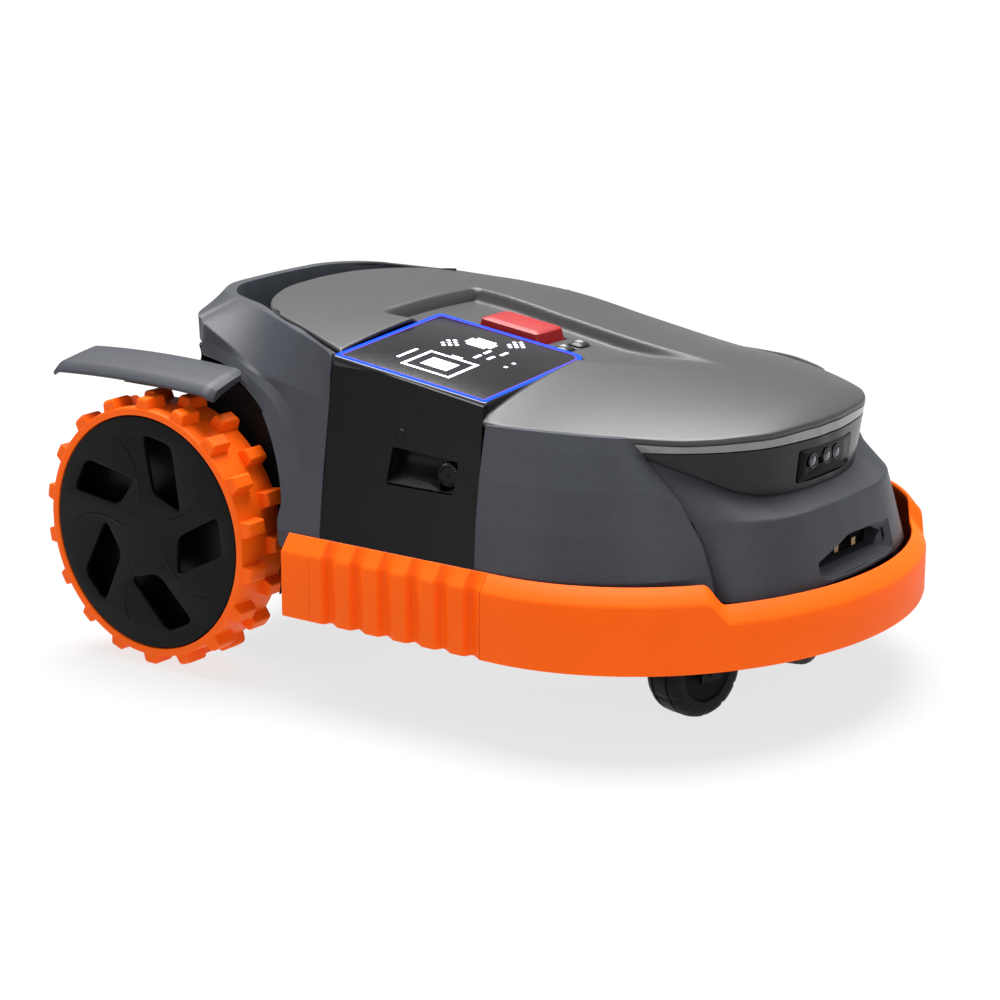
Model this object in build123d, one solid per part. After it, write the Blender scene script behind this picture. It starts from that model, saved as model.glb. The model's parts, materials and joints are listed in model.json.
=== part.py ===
from build123d import *
import os
from math import cos, hypot, radians, sin, sqrt

# Robotic lawn mower, in millimetres. +X is forward, +Y is the mower's left, +Z is up.
# The origin is on the ground, below the middle of the mower's bounding box.

# Driving dimensions: wheels
WHEEL_X = -180.0            # drive axle, behind the middle
WHEEL_R = 92.5              # over the lugs
TREAD_R = 85.6              # tyre carcass between the lugs
TYRE_BORE_R = 80.4
TYRE_WIDTH = 45.0
HALF_TRACK = 197.5          # outer faces of the drive wheels
LUGS = 18                   # in each of two staggered rows
LUG_WIDTH = 9.0
RIM_R, RIM_WALL = 80.2, 4.2
HUBCAP_R, HUBCAP_THICK = 79.8, 3.2
WINDOWS = 5                 # swirled openings in the hubcap
WINDOW = [(68.7, 91), (69.0, 68), (37.0, 28), (28.0, 76)]   # radius, degrees
AXLE_R = 5.0
RUNNING = 0.05              # radial clearance of a turning fit
SEAM = 0.3                  # gap between pieces that move past each other

# Driving dimensions: casters
CASTER_STEM = (169.3, 77.2)
CASTER_TRAIL = 12.0
CASTER_R, CASTER_WIDTH = 32.0, 27.0
CASTER_TURN = -102.0        # how far the right caster is swivelled at rest, in degrees
STEM_R = 5.0
POCKET_R = 49.0

# Driving dimensions: skirt and bumper
SKIRT_LOW = 55.7
SKIRT_HALF = 197.0
SKIRT_FRONT = 272.5
SKIRT_STRAIGHT_END = 108.0  # where the straight side turns into the round nose
WALL_TOP, RIM_TOP = 100.8, 110.5
NOTCH_WALL_TOP, NOTCH_RIM_TOP = 86.9, 96.4
RIM_IN = 9.5                # how far the sloping rim leans in
SKIRT_WALL = 3.5
END_BLOCK = (-61.0, -38.0)
BELLOWS = (-37.8, 97.8)
PLEATS = 6
BUMPER_TRAVEL = 4.5
GUIDES = [(112.0, 174.0), (150.0, 166.0)]    # guide pins of the bumper's carrier
GUIDE_R = 3.0

# Driving dimensions: body
CHASSIS_LOW, CHASSIS_TOP = 61.5, 99.5
WALL = 3.0
SIDE_TURN = 110.0           # height where the upright lower side starts to lean in
ARCH_R = 110.0
DISC_X = 5.0                # centre of the cutting disc
CHAMBER_R = 108.0
DISC_R, DISC_Z = 72.0, 38.0
LIFT = 20.0                 # cutting height goes this far up and down
BLADE_PIVOT_R = 62.0
BLADES = 3
BLADE_SCREW_R = 2.5
MOTOR_R = 30.0
SHAFTWAY_R = 37.5           # opening for the cutter motor in the roof of the blade chamber
ROD_Y, ROD_R = 46.0, 3.0    # the two rods that guide the cutter carriage
SCREW_X, SCREW_R = 47.5, 4.0
KNOB_Z, KNOB_R, KNOB_SHAFT_R = 159.0, 8.5, 3.0
GEAR_R, GEAR_TIP_R, GEAR_GAP = 11.0, 6.0, 0.25

# Half outlines of the body, from the rear to the nose, for y below zero
FOOT = [(-212, -64), (-208, -118), (-200, -136), (-88, -146), (-40, -184), (-36, -186), (103, -186)]
SHOULDER = [(-224, -58), (-191, -112), (-128, -137), (-100, -142), (-62, -148), (-58, -148.5), (68, -149)]
HAUNCH = [(-231, -56), (-199, -116), (-129, -115), (-95, -127), (-62, -136), (-58, -136.5), (62, -137)]
CREST = [(-230, -50), (-187, -76), (-129, -102), (-95, -118), (-62, -131), (-58, -131.5), (62, -132)]
SHOULDER_NOSE = [(93, -146), (118, -141), (140, -131), (160, -120), (176, -111), (190, -101), (207, -84),
                 (222, -58), (229, -20)]
LID = [(-187, -12), (-184, -38), (-174, -65), (-162, -84), (-146, -98), (-111, -112.5), (-66, -129),
       (-62, -149), (68, -149)] + SHOULDER_NOSE[1:]
WELL = [(-222, -14), (-218, -48), (-197, -77), (-168, -92), (-163, -85), (-175.5, -66), (-186, -38),
        (-189, -12)]

# Lid surface along the middle: x, height, and how much lower it is at the body's side
LID_LINE = [(-240, 236.5, 8), (-187, 236.5, 8), (-148, 236, 10), (-62, 231.5, 14), (0, 224, 19),
            (69, 215.5, 24), (119, 211, 21), (160, 206.5, 24), (190, 203.5, 30), (214, 200, 40),
            (226, 194, 20), (240, 184, 10)]
CROWN_HALF = 150.0          # half width at which the full drop is reached
LID_LEDGE = 3.0             # rim of the shell that carries the lid

# Driving dimensions: display block on the right side
SLAB_X, SLAB_Y = (-62.0, 62.0), (-141.0, -24.0)
SLAB_Z0, SLAB_SLOPE_X, SLAB_SLOPE_Y = 219.6, -0.127, 0.080
SIDE_LEAN = 0.438           # the side panel leans in by this much per unit of height
PANEL_THICK, PANEL_TOP = 4.0, 203.0
RECESS_X, RECESS_Z = (2.0, 57.0), (148.5, 171.0)
CONTROL = [(-85, -52), (120, -28)]             # half outline of the sunk tray
CONTROL_FLOOR = 9.0
# x, y, length and width of each button, and how far it stands above the tray's floor
BUTTONS = {"stop_button": (-12.0, 2.0, 54.0, 36.0), "start_button": (29.0, -6.0, 11.0, 14.0),
           "home_button": (29.0, 12.0, 11.0, 14.0)}
BUTTON_RISE = {"stop_button": 8.5, "start_button": 2.5, "home_button": 2.5}

# Driving dimensions: nose
NOSE_FOOT = [(204, -113), (222, -112), (240, -88), (252, -55), (256, -15)]
NOSE_BROW = [(188, -108), (205, -104), (224, -88), (238, -58), (242, -18)]
NOSE_LOW, NOSE_TOP = 94.0, 140.0
FASCIA = [(158, -117), (176, -108), (190, -98), (207, -81), (221, -56), (229.5, -20)]
FASCIA_TOP, BAND_TOP = 180.5, 188.0
PORT_Y, PORT_Z = 46.0, (97.0, 121.0)
FASCIA_BACK = [(150, -125), (176, -118), (200, -104), (222, -85), (262, -60)]
NOSE_CUT = [(186, -114), (204, -113.5), (262, -113.5)]

# Driving dimensions: fenders
FENDER_X, FENDER_Y = (-271.0, -127.0), (-188.0, -147.0)
FENDER_R, FENDER_THICK = 206.0, 7.0
FENDER_TOP = 203.0

NODES = {}


def keep(name, solid):
    """Files a finished piece under its node name."""
    NODES[name] = solid


def both_sides(name, solid):
    """Files the right-hand piece and its mirror image on the left."""
    keep(name + "_right", solid)
    keep(name + "_left", mirror(solid, about=Plane.XZ))


def pair(name, solid):
    """Files the right-hand piece and its mirror image together, as separate solids of one node."""
    keep(name, Part(children=[solid, mirror(solid, about=Plane.XZ)]))


def whole(half):
    """The closed outline made of a right half and its mirror image."""
    return half + [(x, -y) for x, y in reversed(half)]


def inset(points, distance):
    """A closed outline moved inwards by the distance, each corner along its own bisector."""
    area = sum(a[0] * b[1] - b[0] * a[1] for a, b in zip(points, points[1:] + points[:1]))
    turn = 1 if area > 0 else -1
    moved = []
    for before, here, after in zip(points[-1:] + points[:-1], points, points[1:] + points[:1]):
        (ax, ay), (bx, by) = (here[0] - before[0], here[1] - before[1]), (after[0] - here[0], after[1] - here[1])
        la, lb = hypot(ax, ay), hypot(bx, by)
        na, nb = (-ay / la * turn, ax / la * turn), (-by / lb * turn, bx / lb * turn)
        scale = distance / (1 + na[0] * nb[0] + na[1] * nb[1])
        moved.append((here[0] + (na[0] + nb[0]) * scale, here[1] + (na[1] + nb[1]) * scale))
    return moved


def outline(points, z):
    return make_face(Polyline(*[(x, y, z) for x, y in points], close=True))


def prism(points, low, high):
    return extrude(outline(points, low), amount=high - low, dir=(0, 0, 1))


def stack(*levels):
    """A solid with flat or ruled sides through outlines at rising heights."""
    return loft([outline(points, z) for points, z in levels], ruled=True)


def cylinder_z(radius, low, high, at=(0, 0)):
    return Pos(at[0], at[1], (low + high) / 2) * Cylinder(radius, high - low)


def cylinder_y(radius, y0, y1, at=(0, 0)):
    """A cylinder along Y, about the point (x, z)."""
    return Pos(at[0], (y0 + y1) / 2, at[1]) * Rot(90, 0, 0) * Cylinder(radius, abs(y1 - y0))


def block(x, y, z):
    """A box from three ranges."""
    return Pos(sum(x) / 2, sum(y) / 2, sum(z) / 2) * Box(x[1] - x[0], y[1] - y[0], z[1] - z[0])


def nose_round(half, straight_end, front, count=9):
    """Corner points of a rounded nose, from the straight side to a short flat at its front."""
    last = 84.0
    angles = [i * last / count for i in range(1, count + 1)]
    reach = (front - straight_end) / sin(radians(last))
    return [(straight_end + reach * sin(radians(a)), -half * cos(radians(a))) for a in angles]


def body_outline(side, half, front):
    return whole(side + nose_round(half, side[-1][0], front))


def under_lid(drop):
    """Everything from the chassis up to the lid surface lowered by drop."""
    sections = []
    for y in (-205.0, -CROWN_HALF, -75.0, 0.0, 75.0, CROWN_HALF, 205.0):
        share = (y / CROWN_HALF) ** 2
        top = [(x, y, z - fall * share - drop) for x, z, fall in LID_LINE]
        low = [(LID_LINE[-1][0], y, 50.0), (LID_LINE[0][0], y, 50.0)]
        sections.append(make_face(Polyline(*top, *low, close=True)))
    return loft(sections, ruled=True)


def slab_top(x, y, drop=0.0):
    """Height of the display's plane."""
    return SLAB_Z0 + SLAB_SLOPE_X * (x - SLAB_X[0]) + SLAB_SLOPE_Y * (y - SLAB_Y[0]) - drop


def under_slab(x_range, y_range, low, drop):
    """A block from a flat bottom up to the display's plane lowered by drop."""
    (x0, x1), sections = x_range, []
    for y in y_range:
        sections.append(make_face(Polyline((x0, y, low), (x1, y, low), (x1, y, slab_top(x1, y, drop)),
                                           (x0, y, slab_top(x0, y, drop)), close=True)))
    return loft(sections, ruled=True)


def side_y(z, depth=0.0):
    """Where the leaning side panel's face is at a height, depth below its surface."""
    return -186.0 + SIDE_LEAN * (z - SIDE_TURN) + depth


# ---------------------------------------------------------------- drive wheels

def drive_tyre():
    """Carcass ring with two staggered rows of flat-topped lugs."""
    outer, inner = -HALF_TRACK, -HALF_TRACK + TYRE_WIDTH
    hub = (WHEEL_X, WHEEL_R)
    tyre = cylinder_y(TREAD_R, outer, inner, hub) - cylinder_y(TYRE_BORE_R, outer - 1, inner + 1, hub)
    middle = (outer + inner) / 2
    rows = [((outer, middle - 2), 0.0), ((middle + 2, inner), 180.0 / LUGS)]
    for (y0, y1), phase in rows:
        height = WHEEL_R - TREAD_R + 2.0
        lug = Pos(0, (y0 + y1) / 2, -(WHEEL_R - height / 2)) * Box(LUG_WIDTH, y1 - y0, height)
        for i in range(LUGS):
            tyre += Pos(WHEEL_X, 0, WHEEL_R) * Rot(0, phase + i * 360.0 / LUGS, 0) * lug
    return tyre


def wheel_rim():
    hub = (WHEEL_X, WHEEL_R)
    outer, inner = -HALF_TRACK + 4.3, -HALF_TRACK + TYRE_WIDTH - 3.0
    rim = cylinder_y(RIM_R, outer, inner, hub) - cylinder_y(RIM_R - RIM_WALL, outer - 1, inner + 1, hub)
    rim += cylinder_y(RIM_R - RIM_WALL + 0.2, -178.0, -174.0, hub)
    rim += cylinder_y(15.0, outer + 2, inner + 1, hub)
    return rim - cylinder_y(AXLE_R, outer, inner + 2, hub)


def hubcap():
    hub = (WHEEL_X, WHEEL_R)
    face = -HALF_TRACK + 0.9
    cap = cylinder_y(HUBCAP_R, face, face + HUBCAP_THICK, hub)
    for i in range(WINDOWS):
        turn = i * 360.0 / WINDOWS
        corners = [(hub[0] + r * cos(radians(a + turn)), face - 1, hub[1] + r * sin(radians(a + turn)))
                   for r, a in WINDOW]
        cap -= extrude(make_face(Polyline(*corners, close=True)), amount=HUBCAP_THICK + 2, dir=(0, 1, 0))
    return cap


def drive_side():
    """One drive wheel with its axle, gearmotor and seal, on the right."""
    hub = (WHEEL_X, WHEEL_R)
    both_sides("drive_tyre", drive_tyre())
    both_sides("wheel_rim", wheel_rim())
    both_sides("hubcap", hubcap())
    both_sides("drive_axle", cylinder_y(AXLE_R, -190.0, -108.0, hub))
    motor = block((-194, -157), (-127.0, -108.0), (68, 112)) + cylinder_y(20.0, -108.2, -66.0, hub)
    pair("drive_gearmotors", motor - cylinder_y(AXLE_R + RUNNING, -128.0, -106.0, hub))
    seal = cylinder_y(13.0, -149.3, -145.4, hub) - cylinder_y(AXLE_R + SEAM, -150.0, -145.0, hub)
    pair("axle_seals", seal)


# --------------------------------------------------------------------- casters

def turned(solid):
    """A straight caster's piece, swivelled about its stem and put in place on the right."""
    return Pos(CASTER_STEM[0], -CASTER_STEM[1], 0) * Rot(0, 0, CASTER_TURN) * solid


def caster():
    axle = (-CASTER_TRAIL, CASTER_R)
    half = CASTER_WIDTH / 2
    tyre = cylinder_y(CASTER_R, -half, half, axle)
    tyre = chamfer(tyre.edges().filter_by(GeomType.CIRCLE), 4.0) - cylinder_y(20.0, -half - 1, half + 1, axle)
    hub = cylinder_y(19.8, -half + 1.5, half - 1.5, axle) - cylinder_y(3.0 + RUNNING, -half, half, axle)
    fork = cylinder_z(STEM_R, 65.0, 96.0) + block((-20, 12), (-half - 4, half + 4), (65.5, 69.5))
    for side in (-1, 1):
        y = sorted((side * (half + 1), side * (half + 4)))
        fork += block((-20, -2), y, (26, 66))
    fork += cylinder_y(3.0, -half - 5.5, half + 5.5, axle)
    both_sides("caster_tyre", turned(tyre))
    both_sides("caster_hub", turned(hub))
    both_sides("caster_fork", turned(fork))


# -------------------------------------------------------------- skirt and bumper

def skirt_points(lean, half=SKIRT_HALF, start=END_BLOCK[0]):
    side = [(start, -half + lean), (SKIRT_STRAIGHT_END, -half + lean)]
    return whole(side + nose_round(half - lean, SKIRT_STRAIGHT_END, SKIRT_FRONT - lean, 14))


def skirt_ring(wall_top, rim_top):
    """A full skirt: upright wall with a rim that slopes inwards at the top."""
    outer = stack((skirt_points(0), SKIRT_LOW), (skirt_points(0), wall_top), (skirt_points(RIM_IN), rim_top))
    lower = prism(skirt_points(SKIRT_WALL, start=END_BLOCK[0] - 1), SKIRT_LOW - 1, wall_top - 1.0)
    upper = prism(skirt_points(RIM_IN, start=END_BLOCK[0] - 1), wall_top - 2.0, rim_top + 1)
    return outer - lower - upper


def bumper_skin():
    """Low skirt all round the nose, with the higher skirt beside the notch."""
    high = skirt_ring(WALL_TOP, RIM_TOP)
    notch = [(-137, 120), (-137, RIM_TOP), (-123, 80), (123, 80), (137, RIM_TOP), (137, 120)]
    cutter = make_face(Polyline(*[(200, y, z) for y, z in notch], close=True))
    high -= extrude(cutter, amount=100, dir=(1, 0, 0))
    skin = skirt_ring(NOTCH_WALL_TOP, NOTCH_RIM_TOP) + high
    return skin & block((BELLOWS[1] + 0.2, 300), (-210, 210), (40, 130))


def bellows():
    """Pleated stretch of skirt on the right: a zigzag wall under a sloping rim."""
    x0, x1 = BELLOWS
    pitch = (x1 - x0) / PLEATS
    outer, inner, depth = -SKIRT_HALF, -SKIRT_HALF + RIM_IN, 4.5
    front = [(x0, outer)]
    for i in range(PLEATS):
        start = x0 + i * pitch
        front += [(start + 0.38 * pitch, outer), (start + 0.55 * pitch, outer + depth), (start + pitch, outer)]
    wall = prism(front + [(x1, inner), (x0, inner)], SKIRT_LOW, WALL_TOP - 2)
    rim = make_face(Polyline((x0, outer, WALL_TOP - 2), (x0, outer, WALL_TOP), (x0, inner, RIM_TOP),
                             (x0, inner, WALL_TOP - 2), close=True))
    return wall + extrude(rim, amount=x1 - x0, dir=(1, 0, 0))


def skirt_end():
    """Fixed block of skirt behind the bellows, with a tab to the chassis."""
    x0, x1 = END_BLOCK
    outer, inner = -SKIRT_HALF, -SKIRT_HALF + RIM_IN
    profile = make_face(Polyline((x0, outer, SKIRT_LOW), (x0, outer, WALL_TOP), (x0, inner, RIM_TOP),
                                 (x0, inner, SKIRT_LOW), close=True))
    solid = extrude(profile, amount=x1 - x0, dir=(1, 0, 0))
    solid -= block((x0 + SKIRT_WALL, x1 + 1), (outer + SKIRT_WALL, inner + 1), (SKIRT_LOW - 1, WALL_TOP - 2))
    return solid + block((x0 + 4, x1), (outer + 2, -182.2), (62.0, 66.0))


def carrier():
    """Plate inside the bumper that slides under the chassis on its guide pins."""
    def edge(half, front):
        side = [(99.5, -half), (SKIRT_STRAIGHT_END, -half)]
        return whole(side + nose_round(half, SKIRT_STRAIGHT_END, front, 14))

    plate = prism(edge(193.4, 268.9), 58.5, 61.2) - prism(edge(166.0, 241.0), 58.0, 62.0)
    plate -= block((90, 101), (-167, 167), (57, 62))
    for x, y in GUIDES:
        long = BUMPER_TRAVEL + 6.6
        for side in (-1, 1):
            plate -= Pos(x + BUMPER_TRAVEL / 2, side * y, 60) * extrude(SlotOverall(long, 6.6), 4, both=True)
    return plate


def skirt():
    keep("bumper_skin", bumper_skin())
    keep("bumper_carrier", carrier())
    pair("skirt_bellows", bellows())
    pair("skirt_ends", skirt_end())
    pins = Part()
    for x, y in GUIDES:
        for side in (-1, 1):
            pins += cylinder_z(GUIDE_R, 57.0, 64.0, (x, side * y)) + cylinder_z(6.0, 56.0, 58.2, (x, side * y))
    keep("bumper_guide_pins", pins)
    buffers = Part()
    for y in (-60.0, 0.0, 60.0):
        reach = 108.0 + 161.0 * sqrt(1 - ((abs(y) + 9) / 193.5) ** 2) - 2.5
        buffers += block((buffer_seat(max(abs(y) - 9, 0)), reach), (y - 9, y + 9), (68, 84))
    keep("bumper_buffers", buffers)


def buffer_seat(y):
    """Where a buffer meets the chassis's front wall."""
    front = [p for p in chassis_half() if p[0] > 110]
    for (x0, y0), (x1, y1) in zip(front, front[1:]):
        if abs(y1) <= y <= abs(y0):
            return x0 + (x1 - x0) * (y - abs(y0)) / (abs(y1) - abs(y0))
    return front[-1][0]


# --------------------------------------------------------------------- chassis

def chassis_half():
    side = [(-209, -62), (-205, -116), (-198, -132), (-88, -142), (-42, -180), (-38, -182), (100, -182)]
    return side + nose_round(182.0, 100.0, 249.0)


def chassis():
    tub = prism(whole(chassis_half()), CHASSIS_LOW, CHASSIS_TOP)
    tub -= prism(inset(whole(chassis_half()), WALL), CHASSIS_LOW + 3.5, CHASSIS_TOP + 1)
    middle = (DISC_X, 0)
    tub += cylinder_z(CHAMBER_R + WALL, CHASSIS_LOW, 95.0, middle)
    tub -= cylinder_z(CHAMBER_R, CHASSIS_LOW - 1, 92.0, middle)
    for side in (-1, 1):
        at = (CASTER_STEM[0], side * CASTER_STEM[1])
        tub += cylinder_z(POCKET_R + WALL, CHASSIS_LOW, 77.0, at) + cylinder_z(12.0, 76.0, 97.0, at)
        tub -= cylinder_z(POCKET_R, CHASSIS_LOW - 1, 74.0, at) + cylinder_z(STEM_R + RUNNING, 73.0, 98.0, at)
        tub -= cylinder_y(ARCH_R, side * 146.0, side * 190.0, (WHEEL_X, WHEEL_R))
        tub -= cylinder_y(8.0, side * 125.0, side * 150.0, (WHEEL_X, WHEEL_R))
        for x, y in GUIDES:
            tub -= cylinder_z(GUIDE_R, CHASSIS_LOW - 1, 64.0, (x, side * y))
        tub += cylinder_z(7.0, 94.0, 98.0, (DISC_X, side * ROD_Y))
        tub -= cylinder_z(ROD_R, 94.0, 99.0, (DISC_X, side * ROD_Y))
    tub += cylinder_z(8.0, 94.0, 98.0, (SCREW_X, 0)) & block((0, 60), (-9, 9), (90, 98))
    tub -= cylinder_z(SHAFTWAY_R, 90.0, 100.0, middle) + block((200, 260), (-150, 150), (93.5, 100))
    return tub - cylinder_z(SCREW_R + RUNNING, 90.0, 99.0, (SCREW_X, 0))


def caster_rings():
    """Retaining rings above the stem bosses."""
    rings = Part()
    for side in (-1, 1):
        at = (CASTER_STEM[0], side * CASTER_STEM[1])
        rings += cylinder_z(9.0, 97.2, 99.0, at) - cylinder_z(STEM_R + SEAM, 97.0, 99.2, at)
    return rings


def underside_screws():
    """Pan-head screws that close the chassis from below."""
    screws = Part()
    places = [(-190, 40), (-120, 128), (-60, 150), (20, 160), (100, 160), (216, 30)]
    for x, y in places:
        for side in (-1, 1):
            at = (x, side * y)
            head = cylinder_z(3.5, 59.3, CHASSIS_LOW, at) - cylinder_z(1.4, 59.0, 60.6, at)
            screws += head
    return screws


# ------------------------------------------------------------------- main body

def body_solid(drop=0.0, shrink=0.0):
    """The body's outer form, or the same moved inwards by shrink and down by drop."""
    foot = body_outline(FOOT, 186.0, 255.0)
    nose = SHOULDER_NOSE
    levels = [(foot, CHASSIS_TOP), (foot, SIDE_TURN), (whole(SHOULDER + nose), 197.0),
              (whole(HAUNCH + [(x - 5, y + 5) for x, y in nose]), 225.0),
              (whole(CREST + [(x - 8, y + 8) for x, y in nose]), 238.0)]
    moved = [(inset(points, shrink) if shrink else points, z) for points, z in levels]
    moved[0] = (moved[0][0], CHASSIS_TOP - (1 if shrink else 0))
    return stack(*moved) & under_lid(drop)


def main_shell(solid):
    shell = solid - body_solid(drop=6.4, shrink=WALL)
    shell -= prism(whole(LID), 150, 245) & (under_lid(-9) - under_lid(3.3))
    shell -= prism(inset(whole(LID), LID_LEDGE), 165, 245)
    shell -= prism(whole(WELL[:4]), 185, 245)
    for side in (-1, 1):
        shell -= cylinder_y(ARCH_R, side * 146.0, side * 200.0, (WHEEL_X, WHEEL_R))
    shell -= block((150, 262), (-118, 118), (NOSE_TOP, 192)) & prism(whole(FASCIA_BACK), 120, 200)
    shell -= block((RECESS_X[0] - 2.5, RECESS_X[1] + 2.5), (-190, -140), (RECESS_Z[0] - 2.5, RECESS_Z[1] + 2.5))
    shell -= prism(whole(NOSE_CUT), CHASSIS_TOP - 1, NOSE_TOP)
    shell -= under_slab((SLAB_X[0], SLAB_X[1]), (-175.0, SLAB_Y[1]), 195.0, 0.0)
    shell -= side_panel_solid(proud=6.0)
    return shell


def top_lid(solid):
    lid = (under_lid(0) - under_lid(3.0)) & prism(whole(LID), 150, 245) & solid
    lid -= under_slab(SLAB_X, (-175.0, SLAB_Y[1]), 150.0, -20.0)
    return lid - prism(whole(CONTROL), 190, 240) - side_panel_solid(proud=6.0)


def control_tray():
    """Sunk tray in the middle of the lid, holding the buttons."""
    area = prism(inset(whole(CONTROL), 0.1), 150, 245)
    tray = (area & under_lid(0.4)) - under_lid(CONTROL_FLOOR + 2.5)
    tray -= prism(inset(whole(CONTROL), 2.3), 150, 245) - under_lid(CONTROL_FLOOR)
    tray -= under_slab((-70.0, SLAB_X[1] + 0.2), (-175.0, SLAB_Y[1] + 0.2), 150.0, -20.0)
    for x, y, length, width in BUTTONS.values():
        tray -= block((x - length / 2 - SEAM, x + length / 2 + SEAM),
                      (y - width / 2 - SEAM, y + width / 2 + SEAM), (190, 240))
    return tray


def lid_height(x, y):
    """Height of the lid's surface."""
    for (x0, z0, f0), (x1, z1, f1) in zip(LID_LINE, LID_LINE[1:]):
        if x0 <= x <= x1:
            t = (x - x0) / (x1 - x0)
            return z0 + (z1 - z0) * t - (f0 + (f1 - f0) * t) * (y / CROWN_HALF) ** 2
    return 0.0


def buttons():
    for name, (x, y, length, width) in BUTTONS.items():
        floor = lid_height(x, 0) - CONTROL_FLOOR
        body = block((x - length / 2, x + length / 2), (y - width / 2, y + width / 2),
                     (floor - 7.0, floor + BUTTON_RISE[name]))
        keep(name, chamfer(body.edges().filter_by(Axis.Z), 2.0))


def handle_well():
    """Dark trough behind the lid that makes the rear of the body a carrying handle."""
    trough = prism(whole(WELL[:4]), 191.0, 245) & under_lid(1.2)
    inner = prism(inset(whole(WELL[:4]), 2.2), 193.5, 246)
    return trough - inner - prism(inset(whole(LID), -0.2), 188, 250)


def side_panel_solid(proud=0.0):
    """Leaning block of the side panel, from its face or a plane proud of it to the panel's back."""
    sections = []
    for z in (SIDE_TURN, PANEL_TOP):
        y = side_y(z)
        back = -0.23 * (z - SIDE_TURN)
        sections.append(outline([(-37 + back, y - proud), (86 + back, y - proud), (86 + back, y + PANEL_THICK),
                                 (-37 + back, y + PANEL_THICK)], z))
    return loft(sections, ruled=True)


def side_panel():
    panel = side_panel_solid()
    panel -= under_slab((-70, 70), (-175.0, SLAB_Y[1]), 195.0, 0.0)
    return panel - block(RECESS_X, (-190, -130), RECESS_Z)


def recess_cup():
    """Blind cup behind the opening in the side panel."""
    x0, x1 = RECESS_X
    z0, z1 = RECESS_Z
    back = -146.0
    cup = block((x0 - 2.5, x1 + 2.5), (-172, back + 2.5), (z0 - 2.5, z1 + 2.5))
    cup -= block((x0, x1), (-190, back), (z0, z1)) + cut_outside(PANEL_THICK + 0.1)
    return cup - cylinder_y(KNOB_SHAFT_R + SEAM, -150.0, -140.0, (SCREW_X, KNOB_Z))


def cut_outside(depth):
    """Everything outside the plane that lies depth below the side panel's face."""
    z0, z1 = 100.0, 240.0
    faces = [outline([(-120, -260), (160, -260), (160, side_y(z, depth)), (-120, side_y(z, depth))], z)
             for z in (z0, z1)]
    return loft(faces, ruled=True)


def display():
    x0, x1 = SLAB_X
    y0, y1 = SLAB_Y
    full = under_slab(SLAB_X, (y0, y1), 190.0, 0.0) - under_slab((x0 - 9, x1 + 9), (y0 - 9, y1 + 9), 150, 4.0)
    edge = 2.6
    inner = ((x0 + edge, x1 - edge), (y0 + edge, y1 - edge))
    frame = full - under_slab(*inner, 150, -9.0)
    glass = full & under_slab((inner[0][0] + 0.05, inner[0][1] - 0.05), (inner[1][0] + 0.05, inner[1][1] - 0.05),
                              150, 0.0)
    keep("display_light_frame", frame)
    keep("display_glass", glass)
    wall = 2.5
    housing = under_slab(SLAB_X, (y0 - 4.0, y1), 195.0, 4.0)
    housing -= under_slab((x0 + wall, x1 - wall), (y0 + wall, y1 - wall), 190.0, 4.0 + wall)
    shoulder = under_slab(SLAB_X, (-175.0, y0 - 4.0), 195.0, 0.0)
    housing += (shoulder & under_slab(SLAB_X, (-175.0, y0), 195.0, 1.0)) & block((-70, 70), (-175, y0), (195, 203.6))
    housing -= cut_outside(0.0)
    housing -= prism(whole(CONTROL), 190, 240) & under_lid(-20) & block((-90, 130), (y1 - 0.01, 60), (180, 240))
    keep("display_housing", housing)


# ------------------------------------------------------------------------ nose

def nose():
    outer = stack((whole(NOSE_FOOT), NOSE_LOW), (whole(NOSE_BROW), NOSE_TOP))
    inner = stack((inset(whole(NOSE_FOOT), 3.0), NOSE_LOW - 0.1), (inset(whole(NOSE_BROW), 3.0), NOSE_TOP - 3.0))
    cover = outer - inner - block((180, 206), (-104, 104), (NOSE_LOW - 1, NOSE_TOP - 3))
    port = ((232.0, 262.0), (-PORT_Y, PORT_Y), PORT_Z)
    keep("nose_cover", cover - block(*port))
    cup = block((229.5, 246.0), (-PORT_Y - 2.5, PORT_Y + 2.5), (PORT_Z[0] - 2.5, PORT_Z[1] + 2.5))
    keep("charge_port", (cup & inner) - block(*port))
    contacts = Part()
    for y in (-11.0, 11.0):
        contacts += block((232.0, 243.0), (y - 2.5, y + 2.5), (107.0, 112.0))
    keep("charge_contacts", contacts)
    band_outer = prism(whole(FASCIA), NOSE_TOP, FASCIA_TOP)
    band_inner = prism(inset(whole(FASCIA), 2.6), NOSE_TOP - 1, FASCIA_TOP + 1)
    shell_back = block((100, 164), (-120, 120), (NOSE_TOP - 1, BAND_TOP + 1))
    window = block((226.0, 231.5), (-32, 32), (154.0, 175.0))
    keep("front_fascia", band_outer - band_inner - shell_back - window)
    keep("camera_window", block((227.0, 229.4), (-31.9, 31.9), (154.1, 174.9)))
    strip = prism(whole(FASCIA), FASCIA_TOP, BAND_TOP) - prism(inset(whole(FASCIA), 4.0), FASCIA_TOP - 1, BAND_TOP + 1)
    keep("light_band", (strip - shell_back) & under_lid(3.2))
    lenses = Part()
    for y in (-17.0, 0.0, 13.0):
        lenses += Pos(224.5, y, 166.0) * Rot(0, 90, 0) * Cylinder(5.0, 4.5)
    keep("camera_lenses", lenses)


# --------------------------------------------------------------------- fenders

def fender_sweep(radius_out, radius_in, x_range, y_range):
    centre = (sum(FENDER_X) / 2, FENDER_TOP - FENDER_R)
    ring = cylinder_y(radius_out, y_range[0], y_range[1], centre)
    if radius_in:
        ring -= cylinder_y(radius_in, y_range[0] - 1, y_range[1] + 1, centre)
    return ring & block(x_range, (-250, 0), (120, 240))


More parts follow.
